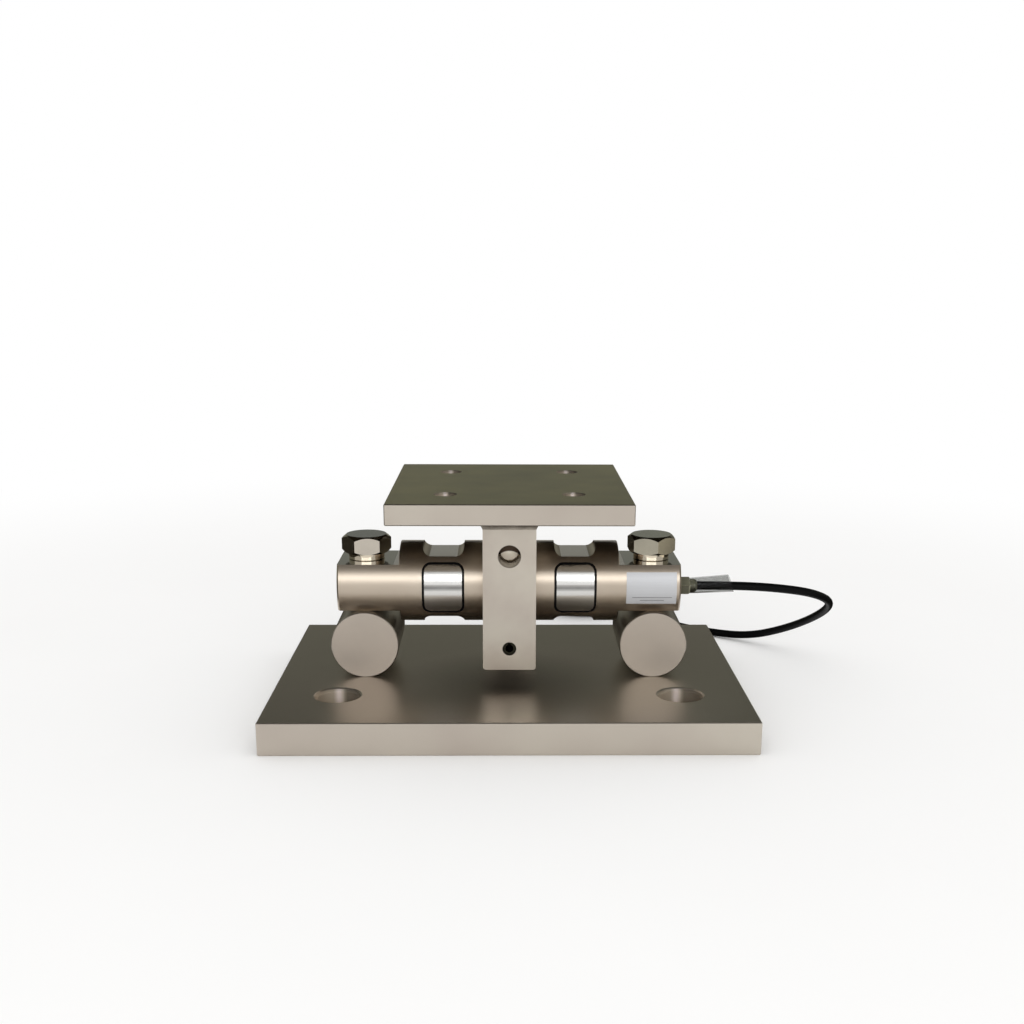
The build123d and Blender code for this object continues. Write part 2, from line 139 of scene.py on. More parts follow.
class StudioSettings(bpy.types.PropertyGroup):
    softbox_size: lengths("Softbox size", "Width and height of the front softbox", (2.6, 0.55))
    softbox_place: spot("Softbox place", "Where the front softbox hangs", (0.0, -2.1, 0.82))
    softbox_aim: spot("Softbox aim", "What the front softbox points at", (0.0, 0.0, 0.08))
    key_power: FloatProperty(
        name="Key power", description="Power of the front softbox", default=10.1, min=0.0,
        subtype="POWER",
    )
    key_colour: colour("Key colour", "Colour of the front softbox", (0.96, 0.98, 1.0))
    sky_level: share("Sky level", "Soft light from all round", 0.95)
    floor_colour: colour("Floor colour", "Colour of the floor near the module", (0.95, 0.945, 0.935))
    floor_radius: length("Floor radius", "Half the width of the floor", 6.0)
    fade_start: length("Fade start", "Where the floor begins to turn white", 0.45)
    fade_end: length("Fade end", "Where the floor has turned white", 1.1)
    overhead_tone: colour("Overhead", "Tone of the card overhead", (0.014, 0.011, 0.007))
    rear_tone: colour("Rear", "Tone of the middle of the rear card", (0.18, 0.185, 0.16))
    rear_foot_tone: colour("Rear foot", "Tone of the rear card's foot", (0.26, 0.26, 0.215))
    rear_floor_tone: colour("Rear floor", "Tone of the floor card behind", (0.035, 0.031, 0.024))
    overhead_front_tone: colour("Overhead front", "Tone of its front border", (0.26, 0.25, 0.235))
    side_floor_tone: colour("Side floor", "Tone of the floor cards at the sides", (0.03, 0.026, 0.02))
    bright_floor_tone: colour("Bright floor", "Tone of the floor card right of the module", (0.95, 0.9, 0.78))
    far_floor_tone: colour("Far floor", "Tone of the floor card far in front", (0.52, 0.49, 0.45))
    card_radius: length("Card radius", "Distance of the rear card", 1.5)
    ceiling_height: length("Ceiling height", "Height of the card overhead", 1.45)
    ceiling_front: length("Ceiling front", "How far the card overhead reaches forward", 2.05)
    rear_steps: lengths("Rear steps", "Heights of the rear card's tones", (0.36, 0.52, 0.68, 0.95))
    overhead_steps: lengths(
        "Overhead steps", "Lines where the card overhead fades, front first", (-1.45, -0.85, -0.3)
    )
    card_lift: length("Card lift", "Height of the floor cards above the floor", 0.0015)
    card_reach: length("Card reach", "How far the floor cards reach out", 1.45)
    side_gap: length("Side gap", "Where the cards at the sides begin", 0.38)
    near_side_gap: length("Near side gap", "The same beside the module's rear half", 0.26)
    side_lines: lengths(
        "Side lines", "Front of the side cards, of the bright one, of the dark ones and of the rear one",
        (-0.9, -0.3, -0.02, 0.125),
    )
    far_reach: length("Far reach", "How far the card far in front reaches sideways", 1.6)
    far_lines: lengths("Far lines", "Front and rear of the card far in front", (-2.1, -1.05))


class CableSettings(bpy.types.PropertyGroup):
    diameter: length("Diameter", "Outside diameter of the cable", 0.006)
    coil_x: length("Coil X", "Middle of the coil along the cell", 0.070)
    coil_y: length("Coil Y", "Middle of the coil behind the module", 0.262)
    outer_lane: length("Outer turn", "Radius of the outermost turn", 0.0475)
    inner_lane: length("Inner turn", "Radius of the innermost turn", 0.025)
    first_layer: length("First layer", "Height of the lowest turns", 0.0042)
    layers: IntProperty(name="Layers", description="Layers of turns", default=3, min=1)
    points_a_turn: IntProperty(
        name="Points a turn", description="Control points in one turn", default=16, min=12
    )
    tail_lane: length("Tail radius", "Radius of the free end on top of the coil", 0.028)
    tail_turn: share("Tail turn", "How much of a turn the free end takes there", 2 / 3)
    climb_turn: share("Climb", "How much of a turn the cable takes to climb a layer", 1 / 6)
    real_length: length("Length", "Length of the cable with its coil", 3.1)
    core_diameter: length("Core diameter", "Diameter of one insulated core", 0.0013)
    core_reach: length("Core reach", "How far the cores stand out of the sheath", 0.022)
    core_spacing: amount("Core spacing", "From the middle to a core, in core diameters", 1.15)
    core_fan: FloatVectorProperty(
        name="Core fan", description="How far the cores spread at the sheath, halfway and at their ends",
        default=(1.0, 1.6, 2.6), size=3,
    )
    core_sag: length("Core sag", "How far the cores' ends hang down", 0.0004)
    core_middle: share("Core middle", "Where along its reach a core bends", 0.45)
    core_bare: share("Core bare", "How much of its reach is bare copper", 0.2)
    core_overlap: length("Core overlap", "How far the copper reaches back into its core", 0.001)
    core_wire: share("Core wire", "Diameter of the copper against its core's", 0.6)
    tie_head: lengths("Tie head", "Depth, width and height of a tie's head", (0.0042, 0.0062, 0.0056))
    tie_height: length("Tie height", "Height of the middle of a tie's head", 0.0122)
    tie_strap: length("Tie strap", "Thickness of a tie's strap", 0.0012)
    tie_sink: length("Tie sink", "How far the head is sunk on its strap", 0.0004)
    tie_round: length("Tie round", "Rounding of the edges of a tie's head", 0.0007)
    tie_angles: FloatVectorProperty(
        name="Tie angles", description="Where the two ties lie round the coil",
        default=(math.radians(28.9), math.radians(98.9)), size=2, unit="ROTATION",
    )


class FinishSettings(bpy.types.PropertyGroup):
    nickel_dark: colour("Nickel, dark", "Shaded tone of the plated steel", (0.485, 0.428, 0.374))
    nickel_light: colour("Nickel, light", "Clear tone of the plated steel", (0.57, 0.525, 0.452))
    bar_end_tone: colour("Bar ends", "Tone of the turned ends of the bars", (0.54, 0.48, 0.415))
    cell_dark: colour("Cell, dark", "Shaded tone of the cell's plating", (0.505, 0.43, 0.348))
    cell_light: colour("Cell, light", "Clear tone of the cell's plating", (0.555, 0.48, 0.395))
    milled_tone: colour("Milled flats", "Tone of the cell's milled flats", (0.45, 0.44, 0.435))
    scoop_tone: colour("Scoops", "Tone of the floors of the cell's scoops", (0.96, 0.90, 0.93))
    top_face_tone: colour("Top face", "Tone of the top plate's upper face", (0.71, 0.665, 0.44))
    hole_tone: colour("Hole walls", "Tone of the walls of the plates' holes", (0.88, 0.77, 0.62))
    # Painted reflection: a bright strip on the walls of the plates' holes
    hole_strip_tone: colour("Hole strip", "Tone of the bright strip on those walls", (1.0, 0.91, 0.86))
    # Painted shade: the darker middle of the base plate under the yoke and the cell
    shade_tone: colour("Base middle", "Darker tone of the base plate under the yoke", (0.15, 0.12, 0.09))
    # Painted shade: the top plate's underside is darker
    underside_tone: colour("Underside", "Tone of the top plate's underside", (0.24, 0.20, 0.15))
    cover_tone: colour("Covers", "Tone of the gauge covers", (0.74, 0.73, 0.71))
    bolt_tone: colour("Bolt, bright", "Tone of the left hold-down bolt", (0.55, 0.50, 0.43))
    dull_bolt_tone: colour("Bolt, dull", "Tone of the right hold-down bolt", (0.40, 0.37, 0.295))
    bolt_top_tone: colour("Bolt top, bright", "Tone of the left head's top", (0.40, 0.41, 0.45))
    dull_bolt_top_tone: colour("Bolt top, dull", "Tone of the right head's top", (0.60, 0.60, 0.56))
    collar_tone: colour("Collars", "Tone of the collars", (0.70, 0.62, 0.49))
    pin_tone: colour("Load pin", "Tone of the load pin", (0.78, 0.72, 0.62))
    # Painted shade: the yoke's bore rims and underside, and the rim's shadow on the load pin
    bore_tone: colour("Bore rims", "Tone of the rims of the yoke's bores", (0.08, 0.056, 0.04))
    # Painted shade: the darker walls of the yoke's bores
    bore_wall_tone: colour("Bore walls", "Tone of the walls of the yoke's bores", (0.27, 0.235, 0.19))
    weld_tone: colour("Weld", "Tone of the weld bead", (0.50, 0.45, 0.385))
    gland_tone: colour("Gland", "Tone of the cable gland", (0.43, 0.42, 0.31))
    nose_tone: colour("Gland nose", "Tone of the nose inside the sleeve", (0.35, 0.34, 0.25))
    label_tone: colour("Rating plate", "Tone of the blank rating plate", (0.58, 0.585, 0.60))
    black_tone: colour("Black", "Tone of the sheath and the seals", (0.003, 0.003, 0.0032))
    rule_tone: colour("Rules", "Tone of the two rules on the rating plate", (0.20, 0.20, 0.21))
    sleeve_dark: colour("Sleeve, dark", "Shaded tone of the clear sleeve", (0.54, 0.545, 0.535))
    sleeve_light: colour("Sleeve, light", "Clear tone of the clear sleeve", (0.66, 0.665, 0.655))
    spring_dark: colour("Spring, dark", "Shaded tone of the lift-stop pin", (0.018, 0.018, 0.012))
    spring_light: colour("Spring, light", "Clear tone of the lift-stop pin", (0.032, 0.031, 0.022))
    gauge_tone: colour("Gauges", "Tone of the strain gauges", (0.45, 0.25, 0.06))
    board_tone: colour("Board", "Tone of the bridge board", (0.03, 0.13, 0.05))
    wire_tone: colour("Wires", "Tone of the gauge wires", (0.30, 0.06, 0.04))
    rubber_tone: colour("Rubber", "Tone of the gland's grommet", (0.02, 0.02, 0.02))
    nylon_tone: colour("Nylon", "Tone of the cable ties", (0.02, 0.02, 0.021))
    red_core: colour("Red core", "Tone of the first core", (0.36, 0.02, 0.02))
    black_core: colour("Black core", "Tone of the second core", (0.02, 0.02, 0.02))
    green_core: colour("Green core", "Tone of the third core", (0.02, 0.16, 0.05))
    white_core: colour("White core", "Tone of the fourth core", (0.6, 0.6, 0.58))
    copper_dark: colour("Copper, dark", "Shaded tone of the bare copper", (0.62, 0.33, 0.19))
    copper_light: colour("Copper, light", "Clear tone of the bare copper", (0.80, 0.47, 0.29))
    grain_depth: length("Grain depth", "Depth of the grain on machined faces", 0.000012)
    foil_depth: length("Foil depth", "Depth of the grain of the rating plate", 0.000006)
    sleeve_depth: length("Sleeve depth", "Depth of the unevenness of the sleeve", 0.000004)
    weld_depth: length("Weld depth", "Depth of the weld's ripples", 0.00006)
    weld_pools: amount("Weld pools", "How closely the weld's ripples follow each other", 2400.0)
    weld_bend: amount("Weld bend", "How far the clouds bend those ripples", 5.0)
    ring_height: amount("Ring height", "Height of the cutter rings against the grain", 1.4)
    hole_rougher: share("Hole roughness", "How much rougher the holes' walls are", 0.3)
    # Lit and painted-shade sides of the holes' walls
    hole_clear_level: share("Hole clear side", "How light the holes' clear side is", 0.75)
    hole_dull_level: share("Hole dull side", "How light the holes' dull side is", 0.36)
    bar_dark_level: share("Bar, dark", "How light the bars are against the dark nickel", 0.7)
    bar_light_level: share("Bar, light", "How light the bars are against the clear nickel", 0.75)
    grain_share: share("Grain share", "How much the grain counts in the roughness", 0.6)
    # Lighter edges: partly rubbed wear, partly painted highlight
    edge_level: amount("Edge level", "How light rubbed edges are against the clear tone", 1.25)


class PlaceSettings(bpy.types.PropertyGroup):
    anchor_holes: spot("Anchor holes", "Middle of the right rear anchor hole", (0.115, 0.06, 0.0))
    anchor_wall: length("Anchor wall", "Radius that takes in an anchor hole's wall", 0.0153)
    top_holes: spot("Top holes", "The same from the top plate's middle", (0.0425, 0.048, 0.0))
    top_wall: length("Top wall", "Radius that takes in the wall of a top hole", 0.0079)
    top_plate_y: length("Top plate Y", "Middle of the top plate, front to back", 0.009)
    # Where the base plate's painted shade is darkest, and how far it reaches
    base_middle: spot("Base middle", "Where the base plate is darkest", (0.0, -0.045, 0.022))
    base_middle_size: lengths("Base middle size", "How far the darker middle reaches", (0.09, 0.09, 1.0))
    milled_ends: length("Milled ends", "Where the cell's milled ends begin", 0.08)
    # Painted reflection: a darker band across the gauge covers
    cover_band: length("Cover band", "Height of the duller band on the covers", 0.0858)
    cover_band_half: length("Cover band half", "Half the width of that band", 0.0025)
    pin_bore: length("Pin bore", "Height of the load pin's bore in the yoke", 0.1122)
    pin_bore_rim: length("Pin bore rim", "Radius of that bore's rim", 0.0079)
    pin_bore_wall: length("Pin bore wall", "Radius that takes in its wall", 0.00765)
    # The lit part of the load pin's end; painted rim shadow lies outside it
    pin_light: length("Pin light", "Height of the middle of the pin's bright part", 0.1027)
    pin_light_radius: length("Pin light radius", "Radius of that part", 0.0101)
    stop_bore: length("Stop bore", "Height of the lift-stop pin's bore", 0.0477)
    stop_bore_rim: length("Stop bore rim", "Radius of that bore's rim", 0.00485)
    gland_nose: length("Gland nose", "Where the gland's nose begins", 0.1262)
    label_middle: length("Label middle", "Middle of the rating plate along the cell", 0.099)
    long_rule: lengths("Long rule", "Height and half length of the long rule", (0.0790, 0.0138))
    short_rule: lengths("Short rule", "Height and half length of the short rule", (0.0768, 0.0083))
    rule_half: length("Rule half", "Half the width of a rule", 0.00022)


SETTINGS = {
    "weighing_camera": CameraSettings,
    "weighing_studio": StudioSettings,
    "weighing_cable": CableSettings,
    "weighing_finish": FinishSettings,
    "weighing_places": PlaceSettings,
}


def link_object(obj):
    bpy.context.scene.collection.objects.link(obj)
    return obj


def wear(obj, material):
    """Give every slot of an object one material."""
    if not obj.data.materials:
        obj.data.materials.append(material)
    for place in obj.material_slots:
        place.material = material


def node_object(name):
    """The frame's own object for one node."""
    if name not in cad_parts:
        raise RuntimeError(f"the frame has no node {name}")
    return bpy.data.objects[name]


def mesh_object(name, bm, smooth=False):
    mesh = bpy.data.meshes.new(name)
    bm.to_mesh(mesh)
    bm.free()
    for face in mesh.polygons:
        face.use_smooth = smooth
    return link_object(bpy.data.objects.new(name, mesh))


class Nodes:
    """A short way to place and join the nodes of one tree."""

    def __init__(self, tree):
        self.tree = tree

    def add(self, kind, inputs=None, **settings):
        node = self.tree.nodes.new(kind)
        for key, value in settings.items():
            setattr(node, key, value)
        for key, value in (inputs or {}).items():
            self.feed(value, node.inputs[key])
        return node

    def feed(self, value, socket):
        if isinstance(value, bpy.types.NodeSocket):
            self.tree.links.new(value, socket)
        else:
            socket.default_value = value

    def math(self, operation, first, second=0.0, clamp=False):
        node = self.add("ShaderNodeMath", {0: first, 1: second}, operation=operation)
        node.use_clamp = clamp
        return node.outputs[0]

    def vectors(self, operation, first, second=(0.0, 0.0, 0.0)):
        """The value that comes out of DOT_PRODUCT or LENGTH, or else the vector."""
        node = self.add("ShaderNodeVectorMath", {0: first, 1: second}, operation=operation)
        return node.outputs["Value" if operation in ("DOT_PRODUCT", "LENGTH") else "Vector"]

    def distance(self, first, second):
        squares = [self.math("MULTIPLY", value, value) for value in (first, second)]
        return self.math("SQRT", self.math("ADD", *squares))

    def between(self, value, low, high, out_low=0.0, out_high=1.0):
        node = self.add(
            "ShaderNodeMapRange",
            {"Value": value, "From Min": low, "From Max": high, "To Min": out_low, "To Max": out_high},
        )
        return node.outputs["Result"]

    def even(self, value, out_low=0.0, out_high=1.0):
        """A noise, whose values crowd about its middle, spread evenly."""
        return self.between(value, *NOISE_SPAN, out_low, out_high)

    def blend(self, factor, first, second):
        node = self.add("ShaderNodeMix", data_type="RGBA")
        self.feed(factor, node.inputs["Factor"])
        self.feed(first, node.inputs[6])
        self.feed(second, node.inputs[7])
        return node.outputs[2]

    def noise(self, vector, scale, detail=3.0):
        node = self.add(
            "ShaderNodeTexNoise", {"Vector": vector, "Scale": scale, "Detail": detail}
        )
        return node.outputs["Fac"]

    def place(self):
        """The place on the piece, in metres in the shared frame."""
        return self.add("ShaderNodeTexCoord").outputs["Object"]

    def normal(self):
        return self.add("ShaderNodeNewGeometry").outputs["Normal"]

    def parts(self, vector):
        return self.add("ShaderNodeSeparateXYZ", {0: vector}).outputs

    def relief(self, height, depth, shader):
        bump = self.add("ShaderNodeBump", {"Height": height, "Distance": depth})
        self.feed(bump.outputs["Normal"], shader.inputs["Normal"])

    def group(self, tree, **values):
        """Place a group and feed its inputs, with _ for each space in their names."""
        node = self.add("ShaderNodeGroup", node_tree=tree)
        for key, value in values.items():
            self.feed(value, node.inputs[key.replace("_", " ")])
        return node.outputs


def new_group(name, inputs, outputs):
    """An empty shader group with named sockets, each given as its name, kind and default."""
    tree = bpy.data.node_groups.new(name, "ShaderNodeTree")
    for title, kind, default in inputs:
        socket = tree.interface.new_socket(title, in_out="INPUT", socket_type=kind)
        socket.default_value = default
    for title, kind in outputs:
        tree.interface.new_socket(title, in_out="OUTPUT", socket_type=kind)
    nodes = Nodes(tree)
    return tree, nodes, nodes.add("NodeGroupInput").outputs, nodes.add("NodeGroupOutput").inputs


def shared(build):
    """Let a group be built when it is first asked for, and found again after that."""

    def find():
        name = build.__name__
        return bpy.data.node_groups.get(name) or build(name)

    return find


@shared
def tool_marks(name):
    """Grain stretched along one direction and soft clouds, each from 0 to 1."""
    tree, nodes, given, result = new_group(
        name,
        [
            ("Stretch", "NodeSocketVector", (900.0, 900.0, 30.0)),
            ("Cloud Scale", "NodeSocketFloat", 14.0),
        ],
        [("Grain", "NodeSocketFloat"), ("Clouds", "NodeSocketFloat")],
    )
    place = nodes.place()
    stretched = nodes.add("ShaderNodeMapping", {"Vector": place, "Scale": given["Stretch"]})
    nodes.feed(nodes.noise(stretched.outputs["Vector"], 1.0, 4.0), result["Grain"])
    nodes.feed(nodes.noise(place, given["Cloud Scale"]), result["Clouds"])
    return tree


@shared
def edge_polish(name):
    """A mask that is 1 on the edges of a piece and 0 on its faces, for rubbed wear and painted edge
    highlights.
    """
    tree, nodes, given, result = new_group(
        name,
        [
            ("Width", "NodeSocketFloat", 0.0008),
            ("Strength", "NodeSocketFloat", 6.0),
            ("Break Scale", "NodeSocketFloat", 160.0),
        ],
        [("Mask", "NodeSocketFloat")],
    )
    rounded = nodes.add("ShaderNodeBevel", {"Radius": given["Width"]}, samples=4)
    facing = nodes.vectors("DOT_PRODUCT", rounded.outputs["Normal"], nodes.normal())
    away = nodes.math("SUBTRACT", 1.0, facing)
    broken = nodes.noise(nodes.place(), given["Break Scale"])
    worn = nodes.math("MULTIPLY", away, given["Strength"])
    nodes.feed(nodes.math("MULTIPLY", worn, broken, clamp=True), result["Mask"])
    return tree


@shared
def square_faces(name):
    """A mask that is 1 on faces square to an axis, as far from the middle as Reach or beyond."""
    tree, nodes, given, result = new_group(
        name,
        [
            ("Axis", "NodeSocketVector", UP),
            ("Least", "NodeSocketFloat", 0.985),
            ("Reach", "NodeSocketFloat", 0.0),
        ],
        [("Mask", "NodeSocketFloat")],
    )
    facing = nodes.vectors("DOT_PRODUCT", nodes.normal(), given["Axis"])
    square = nodes.math("GREATER_THAN", facing, given["Least"])
    sideways = nodes.math("ABSOLUTE", nodes.parts(nodes.place())["X"])
    beyond = nodes.math("GREATER_THAN", sideways, given["Reach"])
    nodes.feed(nodes.math("MULTIPLY", square, beyond), result["Mask"])
    return tree


@shared
def round_area(name):
    """A mask that is 1 inside a circle about an axis along Y, with a soft border."""
    tree, nodes, given, result = new_group(
        name,
        [
            ("Height", "NodeSocketFloat", 0.1),
            ("Radius", "NodeSocketFloat", 0.008),
            ("Border", "NodeSocketFloat", 0.0002),
        ],
        [("Mask", "NodeSocketFloat")],
    )
    place = nodes.parts(nodes.place())
    away = nodes.distance(place["X"], nodes.math("SUBTRACT", place["Z"], given["Height"]))
    inside = nodes.math("SUBTRACT", given["Radius"], away)
    nodes.feed(nodes.math("DIVIDE", inside, given["Border"], clamp=True), result["Mask"])
    return tree


@shared
def dull_band(name):
    """A soft level band of painted dark reflection, 1 in its middle and 0 at its borders."""
    tree, nodes, given, result = new_group(
        name,
        [
            ("Height", "NodeSocketFloat", 0.085),
            ("Half Width", "NodeSocketFloat", 0.002),
            ("Cloud Scale", "NodeSocketFloat", 70.0),
            ("Fall", "NodeSocketFloat", 0.7),
        ],
        [("Mask", "NodeSocketFloat")],
    )
    place = nodes.place()
    away = nodes.math("ABSOLUTE", nodes.math("SUBTRACT", nodes.parts(place)["Z"], given["Height"]))
    fall = nodes.math("SUBTRACT", 1.0, nodes.math("DIVIDE", away, given["Half Width"]), clamp=True)
    uneven = nodes.even(nodes.noise(place, given["Cloud Scale"]), 0.85, 1.0)
    soft = nodes.math("POWER", fall, given["Fall"])
    nodes.feed(nodes.math("MULTIPLY", soft, uneven), result["Mask"])
    return tree


@shared
def middle_shade(name):
    """A mask for painted shade, 1 at one place on a plate and fading out to 0 at a distance of Size."""
    tree, nodes, given, result = new_group(
        name,
        [
            ("Centre", "NodeSocketVector", (0.0, 0.0, 0.0)),
            ("Size", "NodeSocketVector", (0.08, 0.08, 0.08)),
            ("Fall", "NodeSocketFloat", 1.5),
        ],
        [("Mask", "NodeSocketFloat")],
    )
    away = nodes.vectors("SUBTRACT", nodes.place(), given["Centre"])
    share_away = nodes.vectors("LENGTH", nodes.vectors("DIVIDE", away, given["Size"]))
    inside = nodes.math("SUBTRACT", 1.0, nodes.math("POWER", share_away, 2.0), clamp=True)
    nodes.feed(nodes.math("POWER", inside, given["Fall"]), result["Mask"])
    return tree


@shared
def bore_rings(name):
    """Cutter ridges, a painted-shade side and a painted reflection strip on the walls of four holes at one
    spacing.
    """
    tree, nodes, given, result = new_group(
        name,
        [
            ("Centre", "NodeSocketVector", (0.115, 0.06, 0.0)),
            ("Offset Y", "NodeSocketFloat", 0.0),
            ("Radius", "NodeSocketFloat", 0.0145),
            ("Rings", "NodeSocketFloat", 900.0),
            ("Wobble Scale", "NodeSocketFloat", 220.0),
            ("Dull Start", "NodeSocketFloat", 0.1),
            ("Dull End", "NodeSocketFloat", 0.3),
            ("Strip Middle", "NodeSocketFloat", -0.06),
            ("Strip Half", "NodeSocketFloat", 0.05),
            ("Strip Border", "NodeSocketFloat", 0.25),
        ],
        [
            ("Height", "NodeSocketFloat"),
            ("Wall", "NodeSocketFloat"),
            ("Painted Shade", "NodeSocketFloat"),
            ("Strip", "NodeSocketFloat"),
        ],
    )
    place = nodes.parts(nodes.place())
    centre = nodes.parts(given["Centre"])
    line_y = nodes.math("SUBTRACT", place["Y"], given["Offset Y"])
    away = [
        nodes.math("SUBTRACT", nodes.math("ABSOLUTE", value), centre[axis])
        for value, axis in ((place["X"], "X"), (line_y, "Y"))
    ]
    inside = nodes.math("LESS_THAN", nodes.distance(*away), given["Radius"])
    wobble = nodes.noise(nodes.place(), given["Wobble Scale"])
    turn = nodes.math("MULTIPLY", nodes.math("MULTIPLY", place["Z"], given["Rings"]), 2 * math.pi)
    ridges = nodes.math("SINE", nodes.math("ADD", turn, wobble))
    nodes.feed(nodes.math("MULTIPLY", inside, ridges), result["Height"])
    nodes.feed(inside, result["Wall"])
    hole_x = nodes.math("MULTIPLY", nodes.math("SIGN", place["X"]), centre["X"])
    across = nodes.math("DIVIDE", nodes.math("SUBTRACT", place["X"], hole_x), given["Radius"])
    nodes.feed(nodes.between(across, given["Dull Start"], given["Dull End"]), result["Painted Shade"])
    off_strip = nodes.math("ABSOLUTE", nodes.math("SUBTRACT", across, given["Strip Middle"]))
    strip = nodes.between(off_strip, given["Strip Half"], given["Strip Border"], 1.0, 0.0)
    nodes.feed(strip, result["Strip"])
    return tree


def new_material(name):
    material = bpy.data.materials.new(name)
    material.use_nodes = True
    material.node_tree.nodes.clear()
    nodes = Nodes(material.node_tree)
    shader = nodes.add("ShaderNodeBsdfPrincipled")
    output = nodes.add("ShaderNodeOutputMaterial")
    nodes.feed(shader.outputs["BSDF"], output.inputs["Surface"])
    return material, nodes, shader


def dimmed(tone, level):
    return [part * level for part in tone]


def rgba(tone, level=1.0):
    return (*(min(1.0, part) for part in dimmed(tone, level)), 1.0)


def add_flats(nodes, clouds, flats, tone, roughness):
    """Faces square to an axis, in a tone and a roughness of their own."""
    for flat in flats:
        square = nodes.group(
            square_faces(), Axis=flat["axis"], Least=flat.get("least", 0.985),
            Reach=flat.get("reach", 0.0),
        )["Mask"]
        vary = flat.get("vary", 0.06)
        low, high = rgba(flat["tone"], 1.0 - vary), rgba(flat["tone"], 1.0 + vary)
        tone = nodes.blend(square, tone, nodes.blend(nodes.even(clouds), low, high))
        rougher = nodes.math("MULTIPLY", square, flat.get("rougher", 0.0))
        roughness = nodes.math("ADD", roughness, rougher)
    return tone, roughness


def add_rounds(nodes, rounds, tone):
    """Tones inside or outside of circles, for bores and the pin in them."""
    for area in rounds:
        inside = nodes.group(
            round_area(), Height=area["height"], Radius=area["radius"], Border=area["border"]
        )["Mask"]
        if area.get("outside"):
            inside = nodes.math("SUBTRACT", 1.0, inside)
        tone = nodes.blend(inside, tone, rgba(area["tone"]))
    return tone


def add_shade(nodes, shade, tone):
    """Painted shade: a darker middle on the top face of a plate."""
    under = nodes.group(middle_shade(), Centre=shade["centre"], Size=shade["size"])["Mask"]
    above = nodes.group(square_faces(), Axis=UP)["Mask"]
    shaded = nodes.math("MULTIPLY", nodes.math("MULTIPLY", under, above), shade["depth"])
    return nodes.blend(shaded, tone, rgba(shade["tone"]))


def add_holes(nodes, holes, tone, roughness, height):
    """The walls of four holes, with their cutter rings, a painted-shade side and a painted reflection strip.
    """
    finish = bpy.context.scene.weighing_finish
    rings = nodes.group(
        bore_rings(), Centre=holes["centre"], Offset_Y=holes["line_y"], Radius=holes["radius"]
    )
    # The wall's lit side, its painted-shade side and its painted reflection strip
    clear = rgba(finish.hole_tone, finish.hole_clear_level)
    dull = rgba(finish.hole_tone, finish.hole_dull_level)
    wall = nodes.blend(rings["Painted Shade"], clear, dull)
    wall = nodes.blend(rings["Strip"], wall, rgba(finish.hole_strip_tone))
    tone = nodes.blend(rings["Wall"], tone, wall)
    rougher = nodes.math("MULTIPLY", rings["Wall"], finish.hole_rougher)
    ridges = nodes.math("MULTIPLY", rings["Height"], finish.ring_height)
    return tone, nodes.math("ADD", roughness, rougher), nodes.math("ADD", height, ridges)


def machined(
    name, tones, rough, stretch, clouds, depth=1.0, polish=0.5, holes=None, flats=(), band=None,
    rounds=(), shade=None,
):
    """Bare or plated machined steel: tone clouds, directional grain and lighter edges, partly rubbed wear and
    partly painted highlight.
    """
    material, nodes, shader = new_material(name)
    finish = bpy.context.scene.weighing_finish
    dark, light = tones
    marks = nodes.group(tool_marks(), Stretch=stretch, Cloud_Scale=clouds)
    tone = nodes.blend(nodes.even(marks["Clouds"]), rgba(dark), rgba(light))
    grain = nodes.math("MULTIPLY", marks["Grain"], finish.grain_share)
    roughness = nodes.between(nodes.math("ADD", grain, marks["Clouds"]), *UNEVEN_SPAN, *rough)
    height = marks["Grain"]
    tone, roughness = add_flats(nodes, marks["Clouds"], flats, tone, roughness)
    tone = add_rounds(nodes, rounds, tone)
    # A painted dark reflection band
    if band:
        across = nodes.group(dull_band(), Height=band["height"], Half_Width=band["half"])["Mask"]
        tone = nodes.blend(across, tone, rgba(light, band["level"]))
    # Painted shade in the middle of the plate
    if shade:
        tone = add_shade(nodes, shade, tone)
    # Lighter edges: partly rubbed wear, partly painted highlight
    edges = nodes.math("MULTIPLY", nodes.group(edge_polish())["Mask"], polish)
    tone = nodes.blend(edges, tone, rgba(light, finish.edge_level))
    if holes:
        tone, roughness, height = add_holes(nodes, holes, tone, roughness, height)
    shader.inputs["Metallic"].default_value = 1.0
    nodes.feed(tone, shader.inputs["Base Color"])
    nodes.feed(roughness, shader.inputs["Roughness"])
    nodes.relief(height, finish.grain_depth * depth, shader)
    return material


def moulded(name, tone, rough, bump_scale=900.0, depth=0.00001, variation=0.25, gloss=0.32):
    """Rubber, nylon or sealing compound with a fine uneven skin."""
    material, nodes, shader = new_material(name)
    marks = nodes.group(tool_marks(), Stretch=[bump_scale] * 3, Cloud_Scale=60.0)
    toned = nodes.blend(marks["Clouds"], rgba(tone, 1.0 - variation), rgba(tone, 1.0 + variation))
    nodes.feed(toned, shader.inputs["Base Color"])
    nodes.feed(nodes.even(marks["Grain"], *rough), shader.inputs["Roughness"])
    shader.inputs["Specular IOR Level"].default_value = gloss
    nodes.relief(marks["Grain"], depth, shader)
    return material


